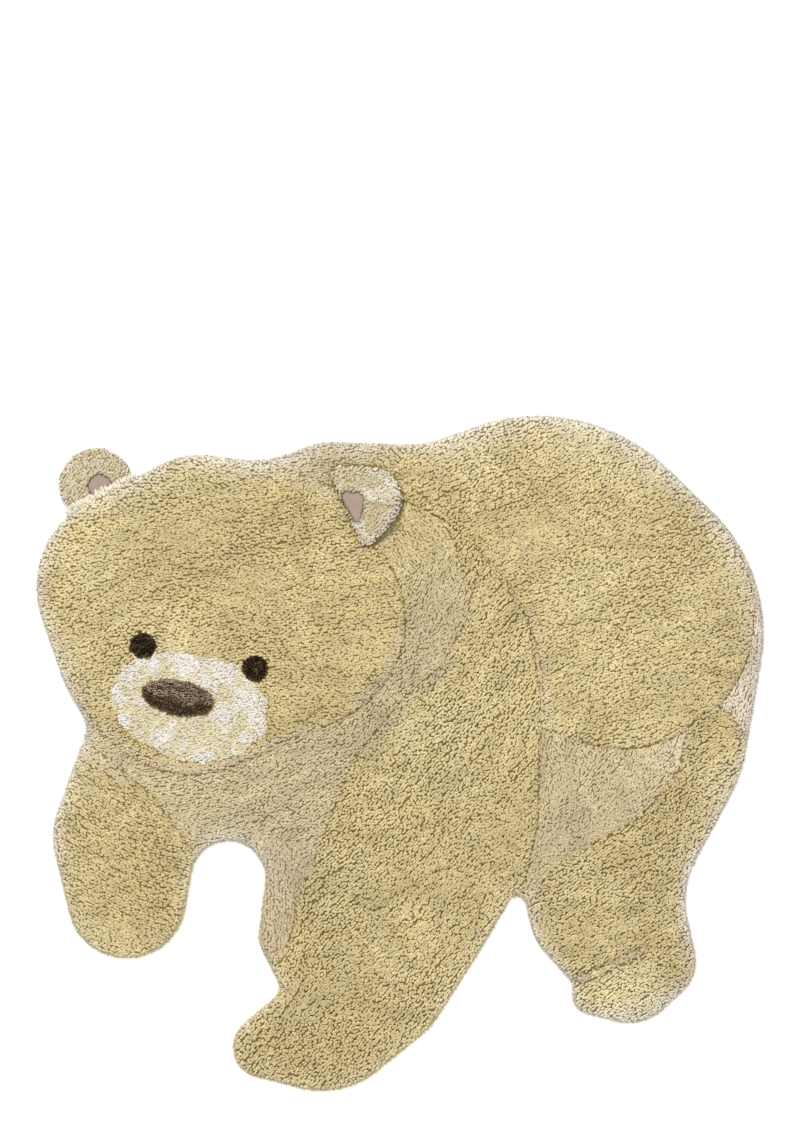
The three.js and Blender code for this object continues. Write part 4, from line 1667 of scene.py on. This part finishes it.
@dataclass
class Studio:
    """A plain white floor, soft light from above and the camera over the rug."""

    camera_height: float = 8.0
    camera_y: float = 0.358
    lens_mm: float = 132.0
    camera_sees: float = 60.0
    floor_half: float = 9.0
    floor_z: float = -0.0006  # a little under the canvas, so that the two never share a plane
    air_light: float = 0.62

    def build(self) -> None:
        """Builds the floor, the lights and the camera."""
        half, low = self.floor_half, self.floor_z
        corners = np.array([[-half, -half, low], [half, -half, low], [half, half, low], [-half, half, low]])
        floor = new_mesh("floor", corners, [np.array([[0, 1, 2, 3]])])
        floor.data.materials.append(PlainFloor().make())
        world = bpy.data.worlds.new("studio_air")
        world.use_nodes = True
        set_inputs(world.node_tree.nodes["Background"], {"Color": rgba(Dye.FLOOR), "Strength": self.air_light})
        bpy.context.scene.world = world
        self._lamp("key", at=(-1.8, 4.2, 3.6), size=1.6, power=190.0)
        self._lamp("fill", at=(2.4, -2.0, 4.8), size=3.5, power=60.0)
        camera = bpy.data.objects.new("camera", bpy.data.cameras.new("camera"))
        bpy.context.scene.collection.objects.link(camera)
        camera.location = (0.0, self.camera_y, self.camera_height)
        camera.data.lens = self.lens_mm
        camera.data.clip_end = self.camera_sees
        bpy.context.scene.camera = camera
        view = bpy.context.scene.view_settings
        view.view_transform, view.look = "Standard", "None"

    def _lamp(self, name: str, at: tuple[float, float, float], size: float, power: float) -> None:
        """Hangs a square soft light that looks at the rug.

        Args:
            name: The lamp's name.
            at: Its place.
            size: Length of its side.
            power: Its power in watts.
        """
        light = bpy.data.lights.new(name, "AREA")
        light.size = size
        light.energy = power
        lamp = bpy.data.objects.new(name, light)
        bpy.context.scene.collection.objects.link(lamp)
        lamp.location = at
        lamp.rotation_euler = (-Vector(at)).to_track_quat("-Z", "Y").to_euler()


def main() -> None:
    """Builds the studio, the rug's pieces and their finishes."""
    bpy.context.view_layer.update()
    Studio().build()
    cotton = CutCottonPile("cut_cotton_pile").make()
    short_cotton = CutCottonPile("short_cotton_pile", fibre_mm=1.4, ply_depth_mm=0.3, sheen=0.03).make()
    body = Body()
    canvas = body.build_canvas()
    on_canvas = [body.build_packed_yarn(cotton), *body.build_pile(cotton)]
    on_canvas.append(body.build_whiskers(WovenCotton("loose_fibres", Dye.THREAD, 0.6).make()))
    nose, eye = (19.0, -11.5), (Dye.DARK, Dye.DARK_WARM)
    for inlay, seed in (
        (Inlay("nose_bridge", "brown_pile", *nose, Dye.BROWN, Dye.BROWN_DEEP, speckle=0.12), 200),
        (Inlay("nose_underside", "dark_pile", *nose, Dye.NOSE_UNDER, Dye.NOSE_UNDER_DEEP, speckle=0.35), 210),
        (Inlay("left_eye", "dark_pile", 16.8, 20.0, *eye, speckle=0.45), 220),
        (Inlay("right_eye", "dark_pile", 16.8, 60.0, *eye, speckle=0.45), 230),
    ):
        on_canvas.append(inlay.build(short_cotton, seed))
    cloth = WovenCotton("ear_lining_cotton", Dye.LINING, 0.9, relief_mm=0.15).make()
    far_ear = Ear("far_ear", "far_ear_lining", seat_mm=0.0, thick_mm=13.0, rows_deg=60.0, lining_top_mm=8.0)
    near_ear = Ear(
        "near_ear",
        "near_ear_lining",
        seat_mm=10.0,
        thick_mm=12.0,
        rows_deg=30.0,
        lining_top_mm=17.0,
        white_from_x=-0.06,
        pale_from_x=-0.065,
        pale_edge=0.2,
        mottling=0.6,
        bound_y=(0.436, 0.496),
    )
    on_canvas += far_ear.build(cotton, cloth, 300)[:2] + near_ear.build(cotton, cloth, 320)[:2]
    on_canvas.append(Overlock().build(near_ear, WovenCotton("overlock_thread", Dye.THREAD, 0.5).make()))


if __name__ == "__main__":
    main()
